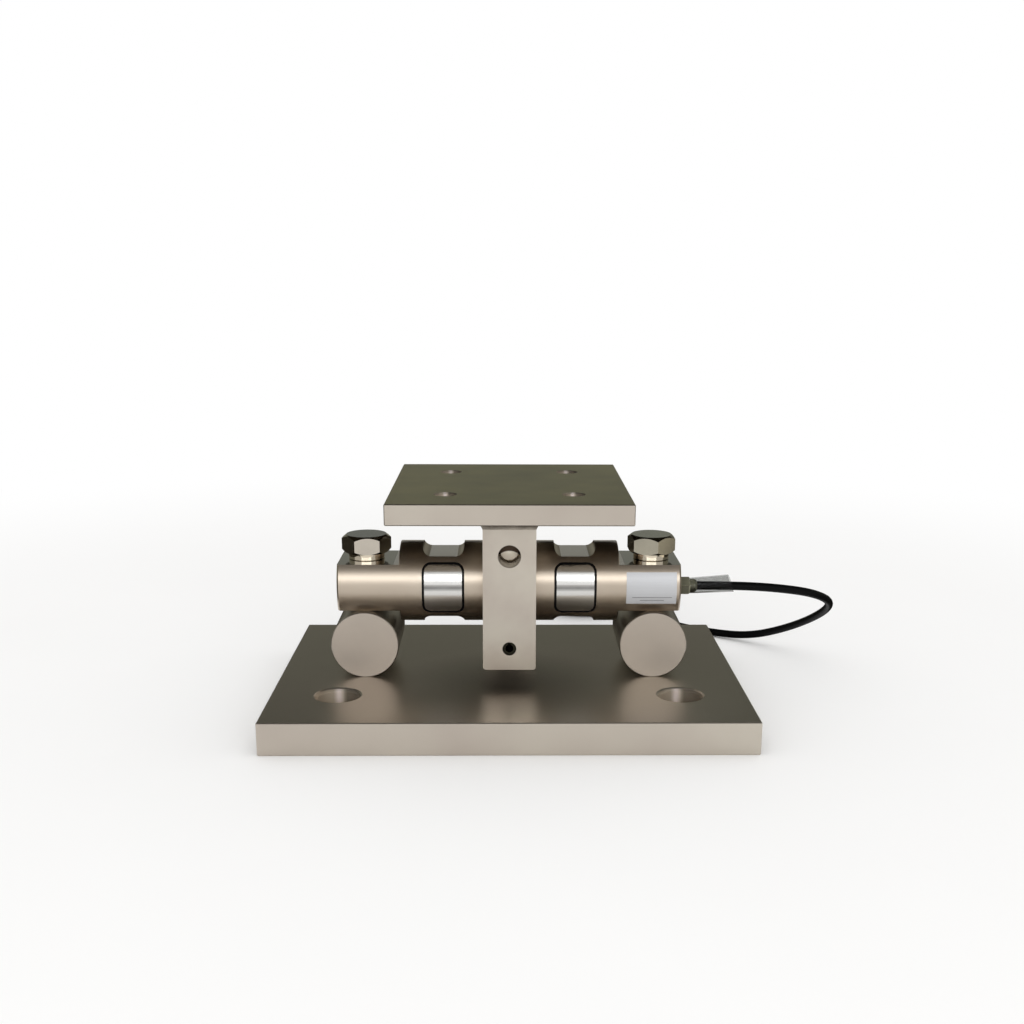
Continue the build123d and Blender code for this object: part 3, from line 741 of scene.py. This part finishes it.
def weld_material():
    """A plated weld bead: dark, with the ripples of each pool across its run."""
    finish = bpy.context.scene.weighing_finish
    material, nodes, shader = new_material("weld_bead")
    marks = nodes.group(tool_marks(), Stretch=(500.0, 500.0, 500.0), Cloud_Scale=90.0)
    tone = nodes.blend(marks["Clouds"], rgba(finish.weld_tone, 0.6), rgba(finish.weld_tone, 1.3))
    nodes.feed(tone, shader.inputs["Base Color"])
    nodes.feed(nodes.even(marks["Grain"], 0.3, 0.48), shader.inputs["Roughness"])
    shader.inputs["Metallic"].default_value = 1.0
    run = (1.0, 1.0, 0.35)
    along = nodes.vectors("DOT_PRODUCT", nodes.place(), run)
    pools = nodes.math("MULTIPLY", along, finish.weld_pools)
    bent = nodes.math("ADD", pools, nodes.math("MULTIPLY", marks["Clouds"], finish.weld_bend))
    ripple = nodes.math("MULTIPLY", nodes.math("SINE", bent), 0.5)
    nodes.relief(nodes.math("ADD", ripple, marks["Grain"]), finish.weld_depth, shader)
    return material


def label_material():
    """Blank silver foil with a faint brushed grain and two plain grey rules."""
    finish = bpy.context.scene.weighing_finish
    places = bpy.context.scene.weighing_places
    material, nodes, shader = new_material("rating_foil")
    marks = nodes.group(tool_marks(), Stretch=(40.0, 1500.0, 1500.0), Cloud_Scale=30.0)
    tone = nodes.blend(marks["Grain"], rgba(finish.label_tone, 0.92), rgba(finish.label_tone, 1.06))
    place = nodes.parts(nodes.place())
    off_middle = nodes.math("ABSOLUTE", nodes.math("SUBTRACT", place["X"], places.label_middle))
    for height, half_width in (places.long_rule, places.short_rule):
        off_line = nodes.math("ABSOLUTE", nodes.math("SUBTRACT", place["Z"], height))
        rule = nodes.math(
            "MULTIPLY",
            nodes.math("LESS_THAN", off_line, places.rule_half),
            nodes.math("LESS_THAN", off_middle, half_width),
        )
        tone = nodes.blend(rule, tone, rgba(finish.rule_tone))
    nodes.feed(tone, shader.inputs["Base Color"])
    nodes.feed(nodes.even(marks["Clouds"], 0.36, 0.46), shader.inputs["Roughness"])
    shader.inputs["Metallic"].default_value = 0.25
    nodes.relief(marks["Grain"], finish.foil_depth, shader)
    return material


def sleeve_material():
    """Clear soft tube, a little grey, with a faint haze of handling."""
    finish = bpy.context.scene.weighing_finish
    material, nodes, shader = new_material("clear_sleeve")
    marks = nodes.group(tool_marks(), Stretch=(60.0, 700.0, 700.0), Cloud_Scale=120.0)
    tone = nodes.blend(marks["Clouds"], rgba(finish.sleeve_dark), rgba(finish.sleeve_light))
    nodes.feed(tone, shader.inputs["Base Color"])
    nodes.feed(nodes.even(marks["Clouds"], 0.02, 0.07), shader.inputs["Roughness"])
    shader.inputs["Transmission Weight"].default_value = 1.0
    shader.inputs["IOR"].default_value = 1.19
    nodes.relief(marks["Grain"], finish.sleeve_depth, shader)
    return material


def finish_nodes(material, *names):
    for name in names:
        wear(node_object(name), material)


def smooth_curve(name, paths, radius, material_for=None):
    """A bevelled NURBS curve object with one open spline for each path."""
    data = bpy.data.curves.new(name, "CURVE")
    data.dimensions = "3D"
    data.bevel_depth = radius
    data.bevel_resolution = 5
    data.resolution_u = 8
    data.use_fill_caps = True
    for number, path in enumerate(paths):
        spline = data.splines.new("NURBS")
        spline.points.add(len(path) - 1)
        for point, place in zip(spline.points, path):
            point.co = (*place, 1.0)
        spline.order_u = 3
        spline.use_endpoint_u = True
        spline.use_smooth = True
        if material_for:
            spline.material_index = material_for[number]
    return link_object(bpy.data.objects.new(name, data))


def coil_points():
    """Control points of the coil: neat layers wound in and out, then the free end on top."""
    cable = bpy.context.scene.weighing_cable
    step = 2 * math.pi / cable.points_a_turn
    turns = (cable.outer_lane - cable.inner_lane) / cable.diameter
    count = round(turns * cable.points_a_turn)
    outward = 1.0 / math.cos(step / 2)
    climb = cable.points_a_turn * cable.climb_turn
    points = []
    angle = 0.0
    for layer in range(cable.layers):
        start, end = cable.outer_lane, cable.inner_lane
        if layer % 2:
            start, end = end, start
        for number in range(count):
            rise = min(number / climb, 1.0) if layer else 1.0
            height = cable.first_layer + (layer - 1 + rise) * cable.diameter
            radius = (start + (end - start) * number / count) * outward
            points.append((radius, angle, height))
            angle += step
    base = cable.first_layer + (cable.layers - 1) * cable.diameter
    first = cable.inner_lane
    for number in range(round(cable.points_a_turn * cable.tail_turn) + 1):
        rise = min(number / climb, 1.0)
        radius = (first + (cable.tail_lane - first) * rise) * outward
        points.append((radius, angle, base + cable.diameter * rise))
        angle += step
    return [
        (cable.coil_x + r * math.cos(a), cable.coil_y + r * math.sin(a), z) for r, a, z in points
    ]


class ModuleOperator:
    bl_options = {"REGISTER", "UNDO"}


class SetCamera(ModuleOperator, bpy.types.Operator):
    """Place the camera as the product view has it"""

    bl_idname = "weighing.camera"
    bl_label = "Camera"

    def execute(self, context):
        settings = context.scene.weighing_camera
        data = bpy.data.cameras.new("product_view")
        data.sensor_width = 36.0
        data.lens = settings.lens
        data.shift_x = settings.shift_x
        data.shift_y = settings.shift_y
        camera = link_object(bpy.data.objects.new("product_view", data))
        turn = (
            Matrix.Rotation(settings.yaw, 4, "Z")
            @ Matrix.Rotation(math.pi / 2 - settings.pitch, 4, "X")
            @ Matrix.Rotation(settings.roll, 4, "Z")
        )
        camera.matrix_world = Matrix.Translation(settings.place) @ turn
        context.scene.camera = camera
        return {"FINISHED"}


class MakeCable(ModuleOperator, bpy.types.Operator):
    """Run the signal cable from the gland to its coil, with its ties and bare cores"""

    bl_idname = "weighing.cable"
    bl_label = "Cable"

    def execute(self, context):
        cable = context.scene.weighing_cable
        finish = context.scene.weighing_finish
        sheath = moulded("cable_sheath", finish.black_tone, (0.38, 0.5), 500.0, 0.00002, gloss=0.07)
        nylon = moulded("tie_nylon", finish.nylon_tone, (0.3, 0.42))
        coil = coil_points()
        body = smooth_curve("signal_cable", [CABLE_ROUTE + coil], cable.diameter / 2)
        wear(body, sheath)
        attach(body, "root")
        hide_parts("cable_run", "cable_coil")
        cores = self.make_cores(coil, cable, finish)
        heads = self.make_tie_heads(nylon, cable)
        finish_nodes(nylon, "coil_tie_1", "coil_tie_2")
        return {"FINISHED"}

    def make_cores(self, coil, cable, finish):
        """Four insulated cores that fan out of the sheath's end, with their bare tips."""
        end, before = Vector(coil[-1]), Vector(coil[-2])
        up = Vector(UP)
        ahead = (end - before).normalized()
        across = ahead.cross(up).normalized()
        spread = cable.core_spacing * cable.core_diameter
        bare_reach = cable.core_reach * cable.core_bare
        middle_reach = cable.core_reach * cable.core_middle
        reaches = (-cable.diameter / 2, middle_reach, cable.core_reach - bare_reach)
        sags = (0.0, 0.0, cable.core_sag)
        paths, tips = [], []
        for side, lift in ((-1, 0), (1, 0), (0, -1), (0, 1)):
            path = [
                end + across * side * spread * fan + up * (lift * spread - sag) + ahead * reach
                for fan, sag, reach in zip(cable.core_fan, sags, reaches)
            ]
            paths.append(path)
            tips.append([path[-1] - ahead * cable.core_overlap, path[-1] + ahead * bare_reach])
        shades = (finish.red_core, finish.black_core, finish.green_core, finish.white_core)
        insulated = smooth_curve("core_insulation", paths, cable.core_diameter / 2, range(len(paths)))
        for number, shade in enumerate(shades):
            insulated.data.materials.append(moulded(f"core_{number + 1}", shade, (0.3, 0.42)))
        bare = smooth_curve("core_tips", tips, cable.core_diameter * cable.core_wire / 2)
        copper = machined(
            "bare_copper", (finish.copper_dark, finish.copper_light), rough=(0.29, 0.38),
            stretch=(900.0, 900.0, 900.0), clouds=200.0, polish=0.0,
        )
        wear(bare, copper)
        for piece, slot in ((insulated, "wire_enamel"), (bare, "copper")):
            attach(piece, "root")
        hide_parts("conductor_ends")
        return [insulated, bare]

    def make_tie_heads(self, nylon, cable):
        """The small round-edged heads of the two ties, inside the coil."""
        heads = []
        strap = cable.inner_lane - cable.diameter / 2 - cable.tie_strap
        reach = strap - cable.tie_head[0] / 2 + cable.tie_sink
        for name, angle in zip(("tie_head_1", "tie_head_2"), cable.tie_angles):
            bm = bmesh.new()
            bmesh.ops.create_cube(bm, size=1.0)
            bmesh.ops.scale(bm, vec=cable.tie_head, verts=bm.verts)
            bmesh.ops.bevel(
                bm, geom=bm.edges[:], offset=cable.tie_round, segments=3, profile=0.6, affect="EDGES"
            )
            place = Matrix.Translation((cable.coil_x, cable.coil_y, cable.tie_height))
            place @= Matrix.Rotation(angle, 4, "Z") @ Matrix.Translation((reach, 0, 0))
            bmesh.ops.transform(bm, matrix=place, verts=bm.verts)
            head = mesh_object(name, bm, smooth=True)
            wear(head, nylon)
            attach(head, "root")
            heads.append(head)
        return heads


class FinishPlates(ModuleOperator, bpy.types.Operator):
    """Plate the base plate and the top plate, with cutter rings in their holes"""

    bl_idname = "weighing.plates"
    bl_label = "Plates"

    def execute(self, context):
        finish, places = context.scene.weighing_finish, context.scene.weighing_places
        nickel = (finish.nickel_dark, finish.nickel_light)
        grain = (420.0, 420.0, 14.0)
        base = machined(
            "base_nickel", nickel, rough=(0.33, 0.41), stretch=grain, clouds=9.0, depth=0.5, polish=0.6,
            holes={"centre": places.anchor_holes, "line_y": 0.0, "radius": places.anchor_wall},
            # Painted shade under the yoke and the cell
            shade={
                "centre": places.base_middle, "size": places.base_middle_size, "depth": 0.85,
                "tone": finish.shade_tone,
            },
        )
        finish_nodes(base, "base_plate")
        top = machined(
            "top_nickel", nickel, rough=(0.30, 0.40), stretch=grain, clouds=11.0, depth=0.5, polish=0.6,
            holes={
                "centre": places.top_holes, "line_y": places.top_plate_y, "radius": places.top_wall
            },
            flats=[
                {"axis": UP, "tone": finish.top_face_tone, "rougher": 0.02, "vary": 0.24},
                # The underside is painted shade
                {"axis": DOWN, "tone": finish.underside_tone},
            ],
        )
        finish_nodes(top, "top_plate")
        return {"FINISHED"}


class FinishSupports(ModuleOperator, bpy.types.Operator):
    """Plate the two round bars that carry the cell"""

    bl_idname = "weighing.supports"
    bl_label = "Support bars"

    def execute(self, context):
        finish = context.scene.weighing_finish
        tones = (
            dimmed(finish.nickel_dark, finish.bar_dark_level),
            dimmed(finish.nickel_light, finish.bar_light_level),
        )
        steel = machined(
            "bar_nickel", tones, rough=(0.29, 0.36), stretch=(700.0, 60.0, 700.0), clouds=26.0,
            depth=0.8, polish=0.4,
            flats=[
                {"axis": axis, "tone": finish.bar_end_tone, "rougher": 0.2} for axis in (FRONT, REAR)
            ],
        )
        finish_nodes(steel, "support_bar_left", "support_bar_right")
        return {"FINISHED"}


class FinishCell(ModuleOperator, bpy.types.Operator):
    """Turn and plate the load cell's body"""

    bl_idname = "weighing.cell"
    bl_label = "Load cell"

    def execute(self, context):
        finish, places = context.scene.weighing_finish, context.scene.weighing_places
        steel = machined(
            "cell_nickel", (finish.cell_dark, finish.cell_light), rough=(0.285, 0.345),
            stretch=(900.0, 20.0, 20.0), clouds=16.0, depth=0.2, polish=0.35,
            flats=[
                {"axis": UP, "tone": finish.scoop_tone, "rougher": -0.1},
                {
                    "axis": UP, "tone": finish.milled_tone, "rougher": -0.14,
                    "reach": places.milled_ends,
                },
            ],
        )
        finish_nodes(steel, "load_cell_body")
        return {"FINISHED"}


class FinishGauges(ModuleOperator, bpy.types.Operator):
    """Polish the gauge covers, set their seals and finish what lies under them"""

    bl_idname = "weighing.gauges"
    bl_label = "Gauge pockets"

    def execute(self, context):
        finish, places = context.scene.weighing_finish, context.scene.weighing_places
        ends = [f"{face}_{hand}" for face in ("front", "rear") for hand in ("left", "right")]
        polished = machined(
            "cover_steel", (dimmed(finish.cover_tone, 0.93), finish.cover_tone), rough=(0.12, 0.2),
            stretch=(26.0, 1500.0, 1500.0), clouds=40.0, depth=0.7, polish=0.2,
            # The band is a painted dark reflection
            band={"height": places.cover_band, "half": places.cover_band_half, "level": 0.24},
        )
        finish_nodes(polished, *[f"gauge_cover_{end}" for end in ends])
        seal = moulded("seal_bead", finish.black_tone, (0.16, 0.26), 300.0, 0.00004, gloss=0.12)
        finish_nodes(seal, *[f"cover_seal_{end}" for end in ends])
        foil = moulded("gauge_foil", finish.gauge_tone, (0.3, 0.4), 400.0)
        finish_nodes(foil, *[f"strain_gauge_{end}" for end in ends])
        finish_nodes(moulded("board_laminate", finish.board_tone, (0.3, 0.45)), "bridge_board")
        wires = moulded("wire_lacquer", finish.wire_tone, (0.35, 0.5))
        finish_nodes(wires, "wire_bundle_left", "wire_bundle_right")
        return {"FINISHED"}


class FinishBolts(ModuleOperator, bpy.types.Operator):
    """Plate the hold-down bolts and their collars"""

    bl_idname = "weighing.bolts"
    bl_label = "Hold-down bolts"

    def execute(self, context):
        finish = context.scene.weighing_finish
        for hand, tone, top_tone, rough in (
            ("left", finish.bolt_tone, finish.bolt_top_tone, (0.1, 0.2)),
            ("right", finish.dull_bolt_tone, finish.dull_bolt_top_tone, (0.14, 0.22)),
        ):
            bolt = machined(
                f"bolt_plating_{hand}", (dimmed(tone, 0.85), tone), rough=rough,
                stretch=(500.0, 500.0, 60.0), clouds=60.0, depth=0.9, polish=0.6,
                flats=[{"axis": UP, "tone": top_tone, "rougher": 0.04}],
            )
            finish_nodes(bolt, f"hold_down_bolt_{hand}")
        collar = machined(
            "collar_plating", (dimmed(finish.collar_tone, 0.9), finish.collar_tone),
            rough=(0.08, 0.14), stretch=(60.0, 60.0, 1800.0), clouds=60.0, depth=0.6, polish=0.2,
        )
        finish_nodes(collar, "bolt_collar_left", "bolt_collar_right")
        return {"FINISHED"}


class FinishYoke(ModuleOperator, bpy.types.Operator):
    """Plate the yoke, its weld and the two pins that pass through it"""

    bl_idname = "weighing.yoke"
    bl_label = "Yoke"

    def execute(self, context):
        finish, places = context.scene.weighing_finish, context.scene.weighing_places
        # Painted shade in the yoke's bores: dark rims and darker walls
        rounds = [
            {"height": height, "radius": radius, "border": border, "tone": tone}
            for height, radius, border, tone in (
                (places.pin_bore, places.pin_bore_rim, 0.0002, finish.bore_tone),
                (places.pin_bore, places.pin_bore_wall, 0.0001, finish.bore_wall_tone),
                (places.stop_bore, places.stop_bore_rim, 0.0002, finish.bore_tone),
            )
        ]
        steel = machined(
            "yoke_nickel", (finish.nickel_dark, finish.nickel_light), rough=(0.29, 0.4),
            stretch=(260.0, 260.0, 60.0), clouds=34.0, depth=1.2, polish=0.5,
            # The yoke's underside is painted shade
            flats=[{"axis": DOWN, "tone": finish.bore_tone}], rounds=rounds,
        )
        finish_nodes(steel, "yoke")
        finish_nodes(weld_material(), "yoke_weld")
        # Painted shadow of the bore's rim on the load pin's end, outside its lit part
        painted_rim_shadow = {
            "height": places.pin_light, "radius": places.pin_light_radius, "border": 0.0006,
            "outside": True, "tone": finish.bore_tone,
        }
        ground = machined(
            "pin_steel", (finish.pin_tone, dimmed(finish.pin_tone, 1.2)), rough=(0.4, 0.5),
            stretch=(900.0, 40.0, 900.0), clouds=90.0, depth=0.6, polish=0.3, rounds=[painted_rim_shadow],
        )
        finish_nodes(ground, "load_pin")
        spring = machined(
            "spring_steel", (finish.spring_dark, finish.spring_light), rough=(0.3, 0.45),
            stretch=(500.0, 60.0, 500.0), clouds=120.0, polish=0.6,
        )
        finish_nodes(spring, "lift_stop_pin")
        return {"FINISHED"}


class FinishRatingPlate(ModuleOperator, bpy.types.Operator):
    """Give the blank rating plate its silver foil"""

    bl_idname = "weighing.rating_plate"
    bl_label = "Rating plate"

    def execute(self, context):
        finish_nodes(label_material(), "rating_plate")
        return {"FINISHED"}


class FinishGland(ModuleOperator, bpy.types.Operator):
    """Finish the cable gland, its grommet, the cable in it and the clear sleeve"""

    bl_idname = "weighing.gland"
    bl_label = "Cable gland"

    def execute(self, context):
        finish, places = context.scene.weighing_finish, context.scene.weighing_places
        everywhere = -2.0
        brass = machined(
            "gland_nickel", (dimmed(finish.gland_tone, 0.75), finish.gland_tone), rough=(0.58, 0.7),
            stretch=(900.0, 60.0, 60.0), clouds=120.0, depth=0.8, polish=1.0,
            flats=[
                {"axis": UP, "least": everywhere, "reach": places.gland_nose, "tone": finish.nose_tone},
                # The lower front facets of the hex are painted shade
                {"axis": FRONT_DOWN, "least": 0.9, "tone": dimmed(finish.gland_tone, 0.42)},
            ],
        )
        finish_nodes(brass, "gland_body")
        finish_nodes(moulded("gland_rubber", finish.rubber_tone, (0.4, 0.55)), "gland_grommet")
        finish_nodes(moulded("inner_sheath", finish.black_tone, (0.38, 0.5), gloss=0.07), "inner_cable")
        finish_nodes(sleeve_material(), "gland_sleeve")
        return {"FINISHED"}


def seen_ray(nodes):
    """1 for rays from the camera, from a mirror-like surface or through glass."""
    path = nodes.add("ShaderNodeLightPath").outputs
    return nodes.math(
        "MAXIMUM",
        nodes.math("MAXIMUM", path["Is Camera Ray"], path["Is Glossy Ray"]),
        path["Is Transmission Ray"],
    )


def card_object(name, rows, material):
    """A studio card from rows of points, unseen by the camera and casting no shadow."""
    bm = bmesh.new()
    grid = [[bm.verts.new(point) for point in row] for row in rows]
    for upper, lower in zip(grid, grid[1:]):
        for column in range(len(upper) - 1):
            bm.faces.new((upper[column], upper[column + 1], lower[column + 1], lower[column]))
    card = mesh_object(name, bm, smooth=True)
    wear(card, material)
    card.visible_camera = False
    card.visible_diffuse = False
    card.visible_shadow = False
    card.visible_transmission = False


def card_material(name, steps, axis="Z"):
    """A plain card whose tone follows its place on one axis, from steps of place and tone."""
    material = bpy.data.materials.new(name)
    material.use_nodes = True
    material.node_tree.nodes.clear()
    nodes = Nodes(material.node_tree)
    along = nodes.parts(nodes.place())[axis]
    (below, tone), *higher = steps
    tone = rgba(tone)
    for height, next_tone in higher:
        rise = nodes.between(along, below, height)
        tone = nodes.blend(rise, tone, rgba(next_tone))
        below = height
    glow = nodes.add("ShaderNodeEmission", {"Color": tone, "Strength": 1.0})
    output = nodes.add("ShaderNodeOutputMaterial")
    nodes.feed(glow.outputs["Emission"], output.inputs["Surface"])
    return material


class SetStage(ModuleOperator, bpy.types.Operator):
    """Lay the pale floor, hang the dark cards and set the soft light"""

    bl_idname = "weighing.stage"
    bl_label = "Studio"

    def execute(self, context):
        studio = context.scene.weighing_studio
        self.lay_floor(studio)
        self.hang_cards(studio)
        self.lay_floor_cards(studio)
        self.set_lights(studio)
        self.set_world(context.scene, studio)
        context.scene.view_settings.view_transform = "Standard"
        return {"FINISHED"}

    def lay_floor(self, studio):
        bm = bmesh.new()
        bmesh.ops.create_grid(bm, x_segments=8, y_segments=8, size=studio.floor_radius)
        floor = mesh_object("studio_floor", bm)
        material, nodes, shader = new_material("studio_floor")
        shader.inputs["Roughness"].default_value = 0.9
        shader.inputs["Specular IOR Level"].default_value = 0.0
        place = nodes.place()
        mottle = nodes.noise(place, 6.0)
        nodes.feed(
            nodes.blend(mottle, rgba(studio.floor_colour, 0.99), rgba(studio.floor_colour, 1.01)),
            shader.inputs["Base Color"],
        )
        away = nodes.vectors("LENGTH", place)
        fade = nodes.add(
            "ShaderNodeMapRange",
            {"Value": away, "From Min": studio.fade_start, "From Max": studio.fade_end},
            interpolation_type="SMOOTHSTEP",
        )
        white = nodes.add("ShaderNodeEmission", {"Color": (1.0, 1.0, 1.0, 1.0), "Strength": 1.0})
        mix = nodes.add("ShaderNodeMixShader")
        nodes.feed(nodes.math("MULTIPLY", fade.outputs["Result"], seen_ray(nodes)), mix.inputs[0])
        nodes.feed(shader.outputs["BSDF"], mix.inputs[1])
        nodes.feed(white.outputs["Emission"], mix.inputs[2])
        output = next(n for n in material.node_tree.nodes if n.type == "OUTPUT_MATERIAL")
        nodes.feed(mix.outputs[0], output.inputs["Surface"])
        wear(floor, material)

    def hang_cards(self, studio):
        """The rear card and the card overhead, which the metal mirrors."""
        radius, top, front = studio.card_radius, studio.ceiling_height, studio.ceiling_front
        arc = [math.radians(step) for step in range(-10, 191, 5)]
        heights = [top * part for part in (1.0, 0.66, 0.33, 0.0)]
        rear = [[(radius * math.cos(a), radius * math.sin(a), z) for a in arc] for z in heights]
        tones = (studio.rear_foot_tone, studio.rear_tone, studio.rear_tone, studio.overhead_tone)
        card_object("rear_card", rear, card_material("rear_card", zip(studio.rear_steps, tones)))
        columns = (-radius, -radius / 2, 0.0, radius / 2, radius)
        lines = (radius, 0.0, -front / 2, -front)
        overhead = [[(x, y, top) for x in columns] for y in lines]
        edge = studio.overhead_front_tone
        fading = zip(studio.overhead_steps, (edge, dimmed(edge, 0.5), studio.overhead_tone))
        card_object("ceiling_card", overhead, card_material("ceiling_card", fading, "Y"))

    def lay_floor_cards(self, studio):
        """Flat cards just above the floor, each with its span across and its span along."""
        reach, gap, near_gap = studio.card_reach, studio.side_gap, studio.near_side_gap
        start, bright_start, middle, behind = studio.side_lines
        dark, side, bright, ahead = [
            card_material(name, ((0.0, tone),))
            for name, tone in (
                ("rear_floor", studio.rear_floor_tone),
                ("side_floor", studio.side_floor_tone),
                ("bright_floor", studio.bright_floor_tone),
                ("far_floor", studio.far_floor_tone),
            )
        ]
        for name, (left, right), (front, rear), material in (
            ("rear_floor", (-reach, reach), (behind, reach), dark),
            ("side_floor_left", (-reach, -gap), (start, middle), side),
            ("side_floor_right", (gap, reach), (start, bright_start), side),
            ("bright_floor", (gap, reach), (bright_start, middle), bright),
            ("side_floor_far_left", (-reach, -near_gap), (middle, behind), dark),
            ("side_floor_far_right", (near_gap, reach), (middle, behind), dark),
            ("far_floor", (-studio.far_reach, studio.far_reach), studio.far_lines, ahead),
        ):
            columns = (left, (left + right) / 2, right)
            rows = [[(x, y, studio.card_lift) for x in columns] for y in (rear, front)]
            card_object(name, rows, material)

    def set_lights(self, studio):
        data = bpy.data.lights.new("front_softbox", "AREA")
        data.shape = "RECTANGLE"
        data.size, data.size_y = studio.softbox_size
        data.energy = studio.key_power
        data.color = studio.key_colour
        softbox = link_object(bpy.data.objects.new("front_softbox", data))
        place = Vector(studio.softbox_place)
        turn = (Vector(studio.softbox_aim) - place).to_track_quat("-Z", "Y")
        softbox.matrix_world = Matrix.Translation(place) @ turn.to_matrix().to_4x4()

    def set_world(self, scene, studio):
        world = bpy.data.worlds.new("studio_air")
        scene.world = world
        world.use_nodes = True
        world.node_tree.nodes.clear()
        nodes = Nodes(world.node_tree)
        seen = seen_ray(nodes)
        strength = nodes.between(seen, 0.0, 1.0, studio.sky_level, 1.0)
        air = nodes.add(
            "ShaderNodeBackground", {"Color": (1.0, 1.0, 1.0, 1.0), "Strength": strength}
        )
        output = nodes.add("ShaderNodeOutputWorld")
        nodes.feed(air.outputs["Background"], output.inputs["Surface"])


OPERATORS = (
    SetCamera,
    MakeCable,
    FinishPlates,
    FinishSupports,
    FinishCell,
    FinishGauges,
    FinishBolts,
    FinishYoke,
    FinishRatingPlate,
    FinishGland,
    SetStage,
)


class ModulePanel(bpy.types.Panel):
    """The steps that dress the weighing module, and the values that they use"""

    bl_idname = "VIEW3D_PT_weighing_module"
    bl_label = "Tank weighing module"
    bl_space_type = "VIEW_3D"
    bl_region_type = "UI"
    bl_category = "Weighing"

    def draw(self, context):
        column = self.layout.column()
        for step in OPERATORS:
            column.operator(step.bl_idname)
        for name, group in SETTINGS.items():
            box = self.layout.box()
            values = getattr(context.scene, name)
            for key in group.__annotations__:
                box.prop(values, key)


def register():
    for name, group in SETTINGS.items():
        bpy.utils.register_class(group)
        setattr(bpy.types.Scene, name, PointerProperty(type=group))
    for step in OPERATORS:
        bpy.utils.register_class(step)
    bpy.utils.register_class(ModulePanel)


def unregister():
    bpy.utils.unregister_class(ModulePanel)
    for step in reversed(OPERATORS):
        bpy.utils.unregister_class(step)
    for name, group in SETTINGS.items():
        delattr(bpy.types.Scene, name)
        bpy.utils.unregister_class(group)


def main():
    register()
    for step in OPERATORS:
        family, name = step.bl_idname.split(".")
        getattr(getattr(bpy.ops, family), name)()


if __name__ == "__main__":
    main()
